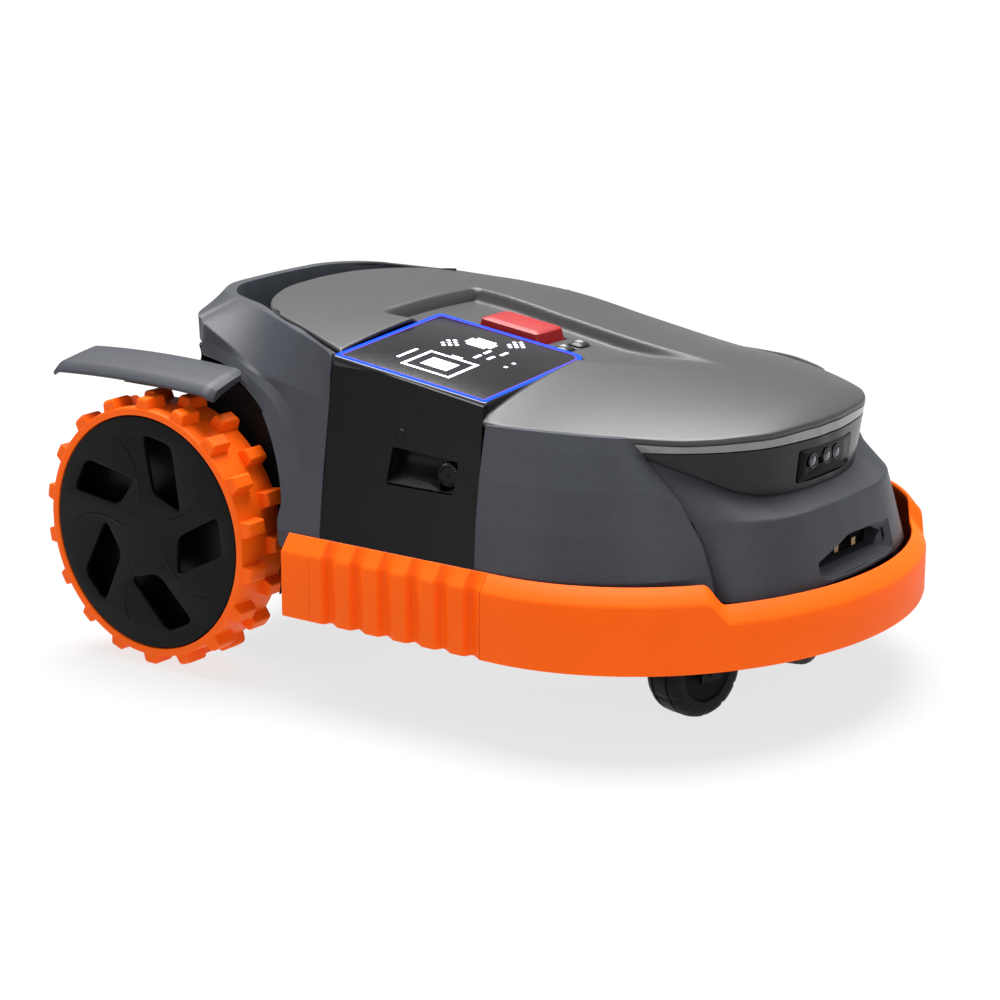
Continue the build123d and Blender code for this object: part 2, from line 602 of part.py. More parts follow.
def fenders(solid):
    fender = fender_sweep(FENDER_R, FENDER_R - FENDER_THICK, FENDER_X, FENDER_Y)
    pair("fenders", fender)
    bracket = block((-214, -152), (-176, -136.5), (188.2, 200)) & fender_sweep(
        FENDER_R - FENDER_THICK, 0, (-214, -152), (-190, -100))
    bracket -= solid
    pair("fender_brackets", bracket)
    arc = cylinder_y(ARCH_R - 0.4, -183.0, -147.0, (WHEEL_X, WHEEL_R)) - cylinder_y(
        ARCH_R - 4.0, -190.0, -140.0, (WHEEL_X, WHEEL_R))
    arc &= block((-130, -60), (-190, -140), (67, 182))
    wall = cylinder_y(ARCH_R - 0.4, -149.0, -147.0, (WHEEL_X, WHEEL_R)) & block((-206, -60), (-150, -140), (67, 182))
    wall -= cylinder_y(16.0, -160.0, -140.0, (WHEEL_X, WHEEL_R))
    pair("wheel_arch_liners", (arc & solid) + wall)


# -------------------------------------------------------------- cutting system

def cutter():
    middle = (DISC_X, 0)
    motor = cylinder_z(MOTOR_R, 54.0, 122.0, middle) - cylinder_z(4.0 + RUNNING, 53.0, 80.0, middle)
    keep("cutter_motor", motor)
    frame = cylinder_z(35.5, 96.0, 126.0, middle)
    frame += block((DISC_X - 7, DISC_X + 7), (-53, 53), (118, 126))
    frame += block((DISC_X, SCREW_X + 8), (-7, 7), (118, 126))
    frame -= cylinder_z(MOTOR_R, 95.0, 122.0, middle) + cylinder_z(24.0, 121.0, 127.0, middle)
    for side in (-1, 1):
        frame -= cylinder_z(ROD_R + RUNNING, 110.0, 130.0, (DISC_X, side * ROD_Y))
    keep("lift_carriage", frame - cylinder_z(SCREW_R + RUNNING, 110.0, 130.0, (SCREW_X, 0)))
    rods = Part()
    for side in (-1, 1):
        rods += cylinder_z(ROD_R, 94.0, 152.0, (DISC_X, side * ROD_Y))
    keep("lift_rods", rods)
    gear = Pos(SCREW_X, 0, KNOB_Z - 8.5) * Cone(GEAR_R - GEAR_GAP, GEAR_TIP_R - GEAR_GAP, 5.0)
    keep("lift_screw", cylinder_z(SCREW_R, 92.5, 148.2, (SCREW_X, 0)) + gear)
    disc = cylinder_z(DISC_R, DISC_Z, DISC_Z + 3, middle) + cylinder_z(16.0, DISC_Z + 2, 50.0, middle)
    disc += cylinder_z(4.0, DISC_Z, 76.0, middle)
    pins = Part()
    for i in range(BLADES):
        a = radians(i * 360.0 / BLADES)
        at = (DISC_X + BLADE_PIVOT_R * cos(a), BLADE_PIVOT_R * sin(a))
        disc -= cylinder_z(BLADE_SCREW_R, DISC_Z - 1, DISC_Z + 5, at)
        pins += cylinder_z(BLADE_SCREW_R, 35.0, DISC_Z + 3, at) + cylinder_z(5.0, 33.0, 35.2, at)
        blade = block((-6.5, 31), (-8, 8), (35.6, 36.8)) - cylinder_z(BLADE_SCREW_R + RUNNING, 35, 38)
        blade = chamfer(blade.edges().filter_by(Axis.Z).sort_by(Axis.X)[-2:], 5.0)
        keep(f"blade_{i + 1}", Pos(at[0], at[1], 0) * Rot(0, 0, i * 360.0 / BLADES) * blade)
    keep("blade_disc", disc)
    keep("blade_screws", pins)


def height_control():
    knob = cylinder_y(KNOB_R, -163.0, -153.0, (SCREW_X, KNOB_Z))
    keep("height_knob", chamfer(knob.edges().filter_by(GeomType.CIRCLE), 1.0) - cylinder_y(
        KNOB_SHAFT_R, -158.0, -152.0, (SCREW_X, KNOB_Z)))
    gear = Pos(SCREW_X, -8.5, KNOB_Z) * Rot(90, 0, 0) * Cone(GEAR_TIP_R - GEAR_GAP, GEAR_R - GEAR_GAP, 5.0)
    keep("knob_shaft", cylinder_y(KNOB_SHAFT_R, -158.0, -10.8, (SCREW_X, KNOB_Z)) + gear)


# -------------------------------------------------------------------- insides

def insides():
    keep("battery_pack", block((-172, -112), (-60, 60), (65.2, 112)))
    keep("main_board", block((-171, -113), (-58, 58), (112.0, 113.6)) + block((-155, -135), (-20, 10), (113.6, 118)))


def build():
    solid = body_solid()
    keep("chassis", chassis())
    keep("main_shell", main_shell(solid))
    keep("top_lid", top_lid(solid))
    keep("control_tray", control_tray())
    keep("handle_well", handle_well())
    keep("side_panel", side_panel())
    keep("recess_cup", recess_cup())
    keep("caster_rings", caster_rings())
    keep("underside_screws", underside_screws())
    buttons()
    display()
    nose()
    fenders(solid)
    drive_side()
    caster()
    skirt()
    cutter()
    height_control()
    insides()


build()
os.makedirs("parts", exist_ok=True)
for stale in os.listdir("parts"):
    os.remove(os.path.join("parts", stale))
for name, solid in NODES.items():
    export_step(solid if isinstance(solid, (Part, Solid, Compound)) else Part(solid), f"parts/{name}.step")
print(len(NODES), "nodes written")
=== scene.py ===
import json
import math
import bmesh
import bpy
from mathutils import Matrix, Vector

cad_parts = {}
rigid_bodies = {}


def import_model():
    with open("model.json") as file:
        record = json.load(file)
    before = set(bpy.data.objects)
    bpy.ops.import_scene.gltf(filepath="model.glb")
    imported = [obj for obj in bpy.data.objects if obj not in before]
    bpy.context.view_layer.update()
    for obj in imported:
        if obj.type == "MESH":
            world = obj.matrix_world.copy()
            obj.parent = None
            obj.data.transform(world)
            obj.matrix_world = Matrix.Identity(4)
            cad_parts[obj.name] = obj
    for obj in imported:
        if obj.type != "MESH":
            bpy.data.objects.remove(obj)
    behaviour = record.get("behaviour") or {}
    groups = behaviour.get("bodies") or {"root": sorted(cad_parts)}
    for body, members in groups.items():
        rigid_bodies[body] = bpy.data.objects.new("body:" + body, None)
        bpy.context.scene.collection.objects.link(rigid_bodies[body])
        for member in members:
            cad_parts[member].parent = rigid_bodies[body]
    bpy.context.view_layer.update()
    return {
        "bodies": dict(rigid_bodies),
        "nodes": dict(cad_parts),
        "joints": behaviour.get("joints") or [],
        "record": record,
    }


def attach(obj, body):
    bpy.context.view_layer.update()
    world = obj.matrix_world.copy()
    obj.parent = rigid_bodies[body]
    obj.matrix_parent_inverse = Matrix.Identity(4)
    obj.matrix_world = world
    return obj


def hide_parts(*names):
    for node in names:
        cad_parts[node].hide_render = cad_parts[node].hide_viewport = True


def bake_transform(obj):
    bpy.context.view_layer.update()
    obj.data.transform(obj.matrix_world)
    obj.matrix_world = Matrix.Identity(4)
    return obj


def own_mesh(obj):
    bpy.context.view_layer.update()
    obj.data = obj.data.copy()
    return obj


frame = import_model()

# All coordinates below are in millimetres, turned into metres by the mesh builder.
# +X is forward, +Y is the mower's left, +Z is up, and the ground is z = 0.
MM = 0.001
WHEEL = (-180.0, 92.5)          # drive axle: x and height
ARCH_R = 110.0
SIDE_TURN, SIDE_LEAN = 110.0, 0.438
SLAB_X, SLAB_Y = (-62.0, 62.0), (-141.0, -24.0)


# ------------------------------------------------------------------ small tools

def smooth(t):
    t = min(max(t, 0.0), 1.0)
    return t * t * (3 - 2 * t)


def spline(points, count):
    """count points along a smooth curve through the given ones, evenly spaced."""
    dense = []
    last = len(points) - 1
    for i in range(last):
        p0, p1 = points[max(i - 1, 0)], points[i]
        p2, p3 = points[i + 1], points[min(i + 2, last)]
        for k in range(16):
            t = k / 16
            dense.append(tuple(0.5 * (2 * b + (c - a) * t + (2 * a - 5 * b + 4 * c - d) * t * t
                                      + (3 * b - a - 3 * c + d) * t ** 3)
                               for a, b, c, d in zip(p0, p1, p2, p3)))
    dense.append(tuple(points[-1]))
    return spaced(dense, count)


def spaced(points, count):
    """count points evenly spaced along a polyline."""
    lengths = [0.0]
    for a, b in zip(points, points[1:]):
        lengths.append(lengths[-1] + math.dist(a, b))
    out, k = [], 0
    for i in range(count):
        want = lengths[-1] * i / (count - 1)
        while k < len(points) - 2 and lengths[k + 1] < want:
            k += 1
        span = lengths[k + 1] - lengths[k] or 1.0
        t = min(max((want - lengths[k]) / span, 0.0), 1.0)
        out.append(tuple(a + (b - a) * t for a, b in zip(points[k], points[k + 1])))
    return out


def through(points, per):
    """A smooth curve through points, with the same number of steps in every span."""
    out, last = [], len(points) - 1
    for i in range(last):
        p0, p1, p2, p3 = points[max(i - 1, 0)], points[i], points[i + 1], points[min(i + 2, last)]
        for k in range(per):
            t = k / per
            out.append(tuple(0.5 * (2 * b + (c - a) * t + (2 * a - 5 * b + 4 * c - d) * t * t
                                    + (3 * b - a - 3 * c + d) * t ** 3)
                             for a, b, c, d in zip(p0, p1, p2, p3)))
    return out + [tuple(points[-1])]


def clip(part, holes):
    """Leaves out the faces inside upright rectangular holes and draws the rest up to their edges."""
    verts, faces = part
    moved = list(verts)

    def hole_at(x, y):
        for x0, x1, y0, y1 in holes:
            if x0 < x < x1 and y0 < y < y1:
                return x0, x1, y0, y1
        return None

    kept = [f for f in faces if any(hole_at(*verts[i][:2]) is None for i in f)]
    for i in {i for f in kept for i in f}:
        x, y, z = verts[i]
        hole = hole_at(x, y)
        if hole:
            x0, x1, y0, y1 = hole
            gap = min((x - x0, "x", x0), (x1 - x, "x", x1), (y - y0, "y", y0), (y1 - y, "y", y1))
            moved[i] = (gap[2], y, z) if gap[1] == "x" else (x, gap[2], z)
    return moved, kept


def linear(table, x):
    """Value at x of a table of (x, value) rows."""
    if x <= table[0][0]:
        return table[0][1]
    for (x0, v0), (x1, v1) in zip(table, table[1:]):
        if x <= x1:
            return v0 + (v1 - v0) * (x - x0) / (x1 - x0)
    return table[-1][1]


def piece(name, verts, faces, mat, body, replaces=(), bevel=0.0, segments=2, angle=35.0, thick=0.0,
          flat=False):
    """A mesh piece riding on a body. thick grows it inwards, bevel rounds its sharp edges."""
    mesh = bpy.data.meshes.new(name)
    mesh.from_pydata([Vector(v) * MM for v in verts], [], faces)
    mesh.validate()
    obj = bpy.data.objects.new(name, mesh)
    bpy.context.scene.collection.objects.link(obj)
    tidy(mesh, angle, flat)
    mesh.materials.append(mat)
    if thick:
        solid = obj.modifiers.new("thickness", "SOLIDIFY")
        solid.thickness, solid.offset = thick * MM, -1.0
    if bevel:
        round_edges(obj, bevel, segments)
    if replaces:
        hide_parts(*replaces)
    if body:
        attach(obj, body)
    return obj


def tidy(mesh, angle, flat):
    bm = bmesh.new()
    bm.from_mesh(mesh)
    bmesh.ops.remove_doubles(bm, verts=bm.verts, dist=0.00002)
    bmesh.ops.recalc_face_normals(bm, faces=bm.faces)
    bm.to_mesh(mesh)
    bm.free()
    if not flat:
        mesh.shade_smooth()
        mesh.set_sharp_from_angle(angle=math.radians(angle))


def round_edges(obj, width, segments=2):
    bevel = obj.modifiers.new("rounded edges", "BEVEL")
    bevel.width, bevel.segments = width * MM, segments
    bevel.limit_method, bevel.angle_limit = "ANGLE", math.radians(32)
    bevel.harden_normals = True
    return bevel


def grid(rows, closed=False, cap=False):
    """Vertices and quads through rows of points."""
    n = len(rows[0])
    verts = [p for row in rows for p in row]
    faces = []
    for i in range(len(rows) - 1):
        for j in range(n if closed else n - 1):
            k = (j + 1) % n
            faces.append((i * n + j, i * n + k, (i + 1) * n + k, (i + 1) * n + j))
    if cap:
        faces += [tuple(range(n)), tuple(range((len(rows) - 1) * n, len(rows) * n))]
    return verts, faces


def joined(*parts):
    verts, faces = [], []
    for v, f in parts:
        base = len(verts)
        verts += v
        faces += [tuple(i + base for i in face) for face in f]
    return verts, faces


def flipped(part):
    """The mirror image on the mower's left."""
    verts, faces = part
    return [(x, -y, z) for x, y, z in verts], [tuple(reversed(f)) for f in faces]


def rounded(corners, radius, steps=5):
    """A closed outline with its corners rounded."""
    out = []
    for before, here, after in zip(corners[-1:] + corners[:-1], corners, corners[1:] + corners[:1]):
        a, b = Vector(before) - Vector(here), Vector(after) - Vector(here)
        r = min(radius, a.length * 0.49, b.length * 0.49)
        a, b = Vector(here) + a.normalized() * r, Vector(here) + b.normalized() * r
        for k in range(steps + 1):
            t = k / steps
            out.append(tuple(a * (1 - t) ** 2 + Vector(here) * 2 * t * (1 - t) + b * t * t))
    return out


def carve(obj, *cutters):
    """Cuts closed solids out of a piece and keeps the result as its mesh."""
    for verts, faces in cutters:
        mesh = bpy.data.meshes.new("cutter")
        mesh.from_pydata([Vector(v) * MM for v in verts], [], faces)
        tidy(mesh, 35, True)
        tool = bpy.data.objects.new("cutter", mesh)
        bpy.context.scene.collection.objects.link(tool)
        cut = obj.modifiers.new("cut", "BOOLEAN")
        cut.object, cut.solver = tool, "EXACT"
        obj.modifiers.move(len(obj.modifiers) - 1, sum(m.type in ("SOLIDIFY",) for m in obj.modifiers))
        bpy.context.view_layer.update()
        later = [m for m in obj.modifiers if m.type == "BEVEL"]
        for m in later:
            m.show_viewport = False
        done = bpy.data.meshes.new_from_object(obj.evaluated_get(bpy.context.evaluated_depsgraph_get()))
        for m in later:
            m.show_viewport = True
        for m in list(obj.modifiers):
            if m.type != "BEVEL":
                obj.modifiers.remove(m)
        old, obj.data = obj.data, done
        bpy.data.meshes.remove(old)
        bpy.data.objects.remove(tool)
        bpy.data.meshes.remove(mesh)
        obj.data.set_sharp_from_angle(angle=math.radians(35))
    return obj


# -------------------------------------------------------------------- materials

def material(name, color, rough, metallic=0.0, vary=0.12, scale=60.0, grain=900.0, bump=0.15, speckle=0.0,
             speckle_color=(0.6, 0.65, 0.75), coat=0.0, emission=0.0, spec=0.4):
    """A surface with mottled colour and roughness, a fine moulded grain and, if wanted, mineral speckle."""
    mat = bpy.data.materials.new(name)
    mat.use_nodes = True
    nodes, links = mat.node_tree.nodes, mat.node_tree.links
    shader = nodes["Principled BSDF"]
    shader.inputs["Metallic"].default_value = metallic
    shader.inputs["Coat Weight"].default_value = coat
    shader.inputs["Coat Roughness"].default_value = 0.08
    shader.inputs["Specular IOR Level"].default_value = spec
    place = nodes.new("ShaderNodeTexCoord")

    def noise(size, detail):
        node = nodes.new("ShaderNodeTexNoise")
        node.inputs["Scale"].default_value = size
        node.inputs["Detail"].default_value = detail
        links.new(place.outputs["Object"], node.inputs["Vector"])
        return node

    def ramp(source, low, high, a, b):
        node = nodes.new("ShaderNodeValToRGB")
        node.color_ramp.elements[0].position, node.color_ramp.elements[1].position = low, high
        node.color_ramp.elements[0].color, node.color_ramp.elements[1].color = a, b
        links.new(source.outputs["Fac"], node.inputs["Fac"])
        return node

    dark = [c * (1 - vary) for c in color] + [1]
    light = [min(c * (1 + vary), 1.0) for c in color] + [1]
    mottle = noise(scale, 4.0)
    base = ramp(mottle, 0.35, 0.65, dark, light)
    colour = base.outputs["Color"]
    if speckle:
        spots = ramp(noise(grain * 1.6, 1.0), 0.66, 0.74, (0, 0, 0, 1), (speckle, speckle, speckle, 1))
        mix = nodes.new("ShaderNodeMix")
        mix.data_type = "RGBA"
        links.new(spots.outputs["Color"], mix.inputs["Factor"])
        links.new(colour, mix.inputs[6])
        mix.inputs[7].default_value = (*speckle_color, 1)
        colour = mix.outputs[2]
    links.new(colour, shader.inputs["Base Color"])
    gloss = nodes.new("ShaderNodeMapRange")
    gloss.inputs["To Min"].default_value, gloss.inputs["To Max"].default_value = rough * 0.88, min(rough * 1.12, 1)
    links.new(noise(scale * 4, 3.0).outputs["Fac"], gloss.inputs["Value"])
    links.new(gloss.outputs["Result"], shader.inputs["Roughness"])
    if bump:
        relief = nodes.new("ShaderNodeBump")
        relief.inputs["Strength"].default_value = bump
        relief.inputs["Distance"].default_value = 0.0004
        links.new(noise(grain, 3.0).outputs["Fac"], relief.inputs["Height"])
        links.new(relief.outputs["Normal"], shader.inputs["Normal"])
    if emission:
        links.new(colour, shader.inputs["Emission Color"])
        shader.inputs["Emission Strength"].default_value = emission
    return mat


ORANGE = (1.0, 0.125, 0.004)
body_grey = material("body_blue_grey", (0.040, 0.043, 0.053), 0.46, vary=0.03, speckle=0.7, grain=1300,
                     speckle_color=(0.11, 0.12, 0.145), bump=0.20, spec=0.3)
lid_grey = material("lid_dark_grey", (0.047, 0.047, 0.0475), 0.40, vary=0.02, speckle=0.25, grain=1500,
                    speckle_color=(0.12, 0.12, 0.125), bump=0.10, spec=0.4)
slate = material("well_slate", (0.052, 0.058, 0.073), 0.55, grain=1200, bump=0.15)
chassis_black = material("chassis_black", (0.006, 0.006, 0.0065), 0.6, spec=0.12, grain=700, bump=0.25)
panel_black = material("panel_black", (0.0045, 0.0045, 0.005), 0.28, grain=1500, bump=0.03, spec=0.14)
fascia_black = material("fascia_black", (0.011, 0.011, 0.0115), 0.25, grain=1500, bump=0.03, spec=0.25)
skirt_orange = material("skirt_orange", ORANGE, 0.50, vary=0.03, grain=1100, bump=0.16, scale=25, spec=0.10)
tyre_orange = material("tyre_orange", ORANGE, 0.48, vary=0.04, grain=900, bump=0.22, scale=30, spec=0.12)
tyre_black = material("tyre_black", (0.006, 0.006, 0.0065), 0.5, spec=0.12, grain=800, bump=0.25)
cap_black = material("hubcap_charcoal", (0.0035, 0.0035, 0.004), 0.34, spec=0.10, grain=1200, bump=0.08)
rim_black = material("rim_black", (0.003, 0.003, 0.0035), 0.45, spec=0.06, grain=900, bump=0.15)
glass_black = material("display_black", (0.010, 0.010, 0.012), 0.16, vary=0.2, bump=0.0, coat=0.15)
blue_light = material("display_blue", (0.0, 0.045, 1.0), 0.6, vary=0.04, emission=1.0, bump=0.0, spec=0.05)
violet_light = material("display_violet", (0.10, 0.03, 0.55), 0.3, vary=0.04, emission=0.35, bump=0.0)
icon_white = material("icon_white", (0.85, 0.9, 1.0), 0.4, vary=0.02, emission=1.6, bump=0.0)
stop_red = material("stop_red", (0.36, 0.004, 0.006), 0.42, vary=0.04, grain=1200, bump=0.10)
key_black = material("key_black", (0.012, 0.012, 0.013), 0.35, grain=1200, bump=0.08)
key_mark = material("key_mark", (0.35, 0.35, 0.36), 0.5, bump=0.0)
window_glass = material("camera_window", (0.001, 0.001, 0.001), 0.12, vary=0.2, bump=0.0, spec=0.05)
lens_dark = material("lens_coated", (0.01, 0.012, 0.03), 0.05, vary=0.3, bump=0.0, coat=1.0)
lens_ring = material("lens_ring", (0.03, 0.03, 0.033), 0.3, metallic=0.3, bump=0.0)
diffuser = material("light_diffuser", (0.21, 0.21, 0.212), 0.25, grain=1500, bump=0.02, coat=0.3)
steel = material("machined_steel", (0.55, 0.55, 0.56), 0.32, metallic=1.0, grain=500, bump=0.08)
motor_grey = material("motor_coating", (0.05, 0.05, 0.055), 0.4, metallic=0.3, grain=700, bump=0.12)
brass = material("contact_brass", (0.22, 0.16, 0.08), 0.3, metallic=1.0, grain=500, bump=0.06)
wrap = material("battery_wrap", (0.03, 0.05, 0.10), 0.45, grain=400, bump=0.10)
board = material("board_green", (0.01, 0.12, 0.05), 0.5, grain=600, bump=0.10)

SLOTS = {"body_grey": body_grey, "lid_grey": lid_grey, "chassis_black": chassis_black,
         "panel_black": panel_black,
         "skirt_orange": skirt_orange, "tyre_orange": tyre_orange, "tyre_black": tyre_black,
         "hub_black": cap_black,
         "display_black": glass_black, "light_blue": blue_light, "stop_red": stop_red, "key_black": key_black,
         "lens_glass": window_glass, "diffuser": diffuser, "steel": steel, "motor_metal": motor_grey,
         "carriage_plastic": chassis_black, "contact_brass": brass, "battery_wrap": wrap,
         "board_green": board}
FINE = {"blade_disc": 0.3, "charge_contacts": 0.3}      # bevel widths in mm, where 0.7 is too much
for entry in frame["record"]["subparts"]:
    node = frame["nodes"][entry["node"]]
    node.data.materials.clear()
    node.data.materials.append(SLOTS[entry["material_slot"]])
    if entry["node"] not in ("caster_rings", "underside_screws", "main_board", "blade_1", "blade_2",
                             "blade_3"):
        round_edges(node, FINE.get(entry["node"], 0.7))


# ------------------------------------------------------------------------ skirt

SKIRT_HALF, SKIRT_FRONT, STRAIGHT_END = 197.0, 272.5, 108.0
SKIRT_LOW, WALL_TOP, RIM_TOP, RIM_IN = 55.7, 100.8, 110.5, 9.5
NOTCH_DROP = 13.9
END_X, BELLOWS = -61.0, (-37.8, 97.8)
PLEATS, PLEAT_DEPTH = 6, 5.2


def skirt_at(s):
    """Point, outward direction along the right half of the skirt: s is x on the straight side, and beyond
    it counts degrees round the nose."""
    if s <= STRAIGHT_END:
        return (s, -SKIRT_HALF), (0.0, -1.0)
    a = math.radians(s - STRAIGHT_END)
    reach = SKIRT_FRONT - STRAIGHT_END
    point = (STRAIGHT_END + reach * math.sin(a), -SKIRT_HALF * math.cos(a))
    out = Vector((SKIRT_HALF * math.sin(a), -reach * math.cos(a))).normalized()
    return point, tuple(out)


def pleat(x):
    """How deep the pleated wall lies at x."""
    if not BELLOWS[0] < x < BELLOWS[1]:
        return 0.0
    pitch = (BELLOWS[1] - BELLOWS[0]) / PLEATS
    t = ((x - BELLOWS[0]) / pitch) % 1.0
    if t < 0.40:
        return 0.0
    if t < 0.54:
        return PLEAT_DEPTH * smooth((t - 0.40) / 0.14)
    if t < 0.64:
        return PLEAT_DEPTH
    return PLEAT_DEPTH * (1 - (t - 0.64) / 0.36)


def skirt_section(s, side=1):
    (x, y), (nx, ny) = skirt_at(s)
    drop = NOTCH_DROP * smooth((137.5 - abs(y)) / 12.5) if x > 200 else 0.0
    wall, rim, dent = WALL_TOP - drop, RIM_TOP - drop, pleat(x) if s <= STRAIGHT_END else 0.0
    profile = [(2.2, SKIRT_LOW), (0.5, SKIRT_LOW + 0.6), (0.0, SKIRT_LOW + 2.2), (0.0, wall - 2.0),
               (0.5, wall - 0.5),
               (1.5, wall + 0.6), (RIM_IN - 1.2, rim - 0.5), (RIM_IN - 0.2, rim - 0.3),
               (RIM_IN + 0.6, rim - 1.2),
               (RIM_IN + 0.6, rim - 3.0), (5.5, wall - 2.0), (4.0, wall - 5.0), (4.0, SKIRT_LOW + 0.6),
               (3.4, SKIRT_LOW)]
    out = []
    for i, (inward, z) in enumerate(profile):
        share = (1.0, 1.0, 1.0, 1.0, 0.95, 0.85, 0.12, 0.0, 0.0, 0.0)[i] if i < 10 else 0.0
        depth = inward + dent * share if i < 10 else inward + (dent * 0.9 if inward < 5 else 0.0)
        out.append((x - nx * depth, side * (y - ny * depth), z))
    return out


def skirt_piece(name, stations, side, body, replaces=()):
    rows = [skirt_section(s, side) for s in stations]
    verts, faces = grid(rows, closed=True, cap=True)
    return piece(name, verts, faces, skirt_orange, body, replaces, angle=38)


def stations(a, b, step):
    n = max(int(round((b - a) / step)), 1)
    return [a + (b - a) * i / n for i in range(n + 1)]


def skirt():
    nose = stations(98.2, STRAIGHT_END, 3.0)[:-1] + stations(STRAIGHT_END, STRAIGHT_END + 90.0, 0.9)
    rows = [skirt_section(s) for s in nose] + [skirt_section(s, -1) for s in reversed(nose[:-1])]
    verts, faces = grid(rows, closed=True, cap=True)
    piece("bumper_skirt", verts, faces, skirt_orange, "bumper", ["bumper_skin"], angle=50)
    for side, hand in ((1, "right"), (-1, "left")):
        end = skirt_piece("skirt_end_" + hand, stations(END_X, BELLOWS[0] - 0.2, 3.0), side, "chassis")
        pleats = skirt_piece("skirt_pleats_" + hand, stations(BELLOWS[0], BELLOWS[1], 0.6), side, None)
        if side > 0:
            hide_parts("skirt_ends")
            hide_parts("skirt_bellows")
        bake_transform(pleats)
    # rubber buffers, copied into a mesh of their own and carried by the chassis
    node = frame["nodes"]["bumper_buffers"]
    mesh = bpy.data.meshes.new("buffer_rubber")
    mesh.from_pydata([node.matrix_world @ v.co for v in node.data.vertices], [],
                     [tuple(p.vertices) for p in node.data.polygons])
    mesh.materials.append(tyre_black)
    rubber = bpy.data.objects.new("buffer_rubber", mesh)
    bpy.context.scene.collection.objects.link(rubber)
    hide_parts("bumper_buffers")
    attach(rubber, "chassis")
    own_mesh(rubber)


# ------------------------------------------------------------------ drive wheels

HALF_TRACK, TYRE_WIDTH = 197.5, 45.0
WHEEL_R, TREAD_R, LUGS = 92.5, 85.6, 18


def revolve(profile, centre, steps, closed=True):
    """A ring about the axle from (radius, y) points."""
    rows = []
    for i in range(steps):
        a = 2 * math.pi * i / steps
        rows.append([(centre[0] + r * math.sin(a), y, centre[1] + r * math.cos(a)) for r, y in profile])
    rows.append(rows[0])
    return grid(rows, closed=closed)


def tyre():
    outer, inner = -HALF_TRACK, -HALF_TRACK + TYRE_WIDTH
    middle = (outer + inner) / 2
    carcass = revolve([(80.2, outer + 3.5), (80.4, outer + 1.0), (81.0, outer + 0.3), (84.6, outer + 0.3),
                       (85.3, outer + 0.8), (TREAD_R, outer + 2.2), (TREAD_R, inner - 4.0),
                       (83.6, inner - 1.6), (80.2, inner - 1.0)],
                      WHEEL, 144)
    lugs = []
    for (y0, y1), phase, outside in (((outer, middle - 2.5), 0.0, True), ((middle + 2.5, inner), 0.5, False)):
        for i in range(LUGS):
            turn = 2 * math.pi * (i + phase) / LUGS
            loops = []
            # the lug's foot is wider than its crown, and its outer end is cut back as a chamfer
            for r, half, back in ((83.6, 6.2, 1.2), (TREAD_R, 5.9, 1.2), (WHEEL_R - 1.6, 4.8, 1.6),
                                  (WHEEL_R, 4.0, 3.2)):
                a0, a1 = (y0 + back, y1 - back * 0.5) if outside else (y0 + back * 0.5, y1 - back)
                loop = []
                for across, along in ((-half, a0), (half, a0), (half, a1), (-half, a1)):
                    angle = turn + across / r
                    up = math.sqrt(max(r * r, 1)) if r < WHEEL_R else r
                    loop.append((WHEEL[0] + up * math.sin(angle), along, WHEEL[1] - up * math.cos(angle)))
                loops.append(loop)
            lugs.append(grid(loops, closed=True, cap=True))
    return carcass, joined(*lugs)


def hubcap(hand):
    """Cover disc with five swirled windows, rounded at their corners."""
    curve = bpy.data.curves.new("hubcap_outline", "CURVE")
    curve.dimensions, curve.fill_mode = "2D", "BOTH"
    curve.extrude, curve.bevel_depth, curve.bevel_resolution = 1.0 * MM, 0.8 * MM, 3

    def ring(points):
        line = curve.splines.new("POLY")
        line.points.add(len(points) - 1)
        for point, (x, y) in zip(line.points, points):
            point.co = (x * MM, y * MM, 0, 1)
        line.use_cyclic_u = True

    ring([(78.8 * math.cos(2 * math.pi * i / 144),
           78.8 * math.sin(2 * math.pi * i / 144)) for i in range(144)])
    for k in range(5):
        corners = []
        for r, a in ((69.0, 91), (69.4, 68), (37.0, 28), (28.0, 76)):
            t = math.radians(a + 72 * k)
            corners.append((r * math.cos(t), r * math.sin(t)))
        ring(rounded(corners, 7.0))
    flat = bpy.data.objects.new("hubcap_curve", curve)
    bpy.context.scene.collection.objects.link(flat)
    bpy.context.view_layer.update()
    made = bpy.data.meshes.new_from_object(flat)
    side = -1 if hand == "right" else 1
    verts = [(WHEEL[0] + v.co.x / MM, side * (HALF_TRACK - 2.7) + v.co.z / MM, WHEEL[1] + v.co.y / MM)
             for v in made.vertices]
    faces = [tuple(p.vertices) for p in made.polygons]
    bpy.data.objects.remove(flat)
    bpy.data.meshes.remove(made)
    return verts, faces


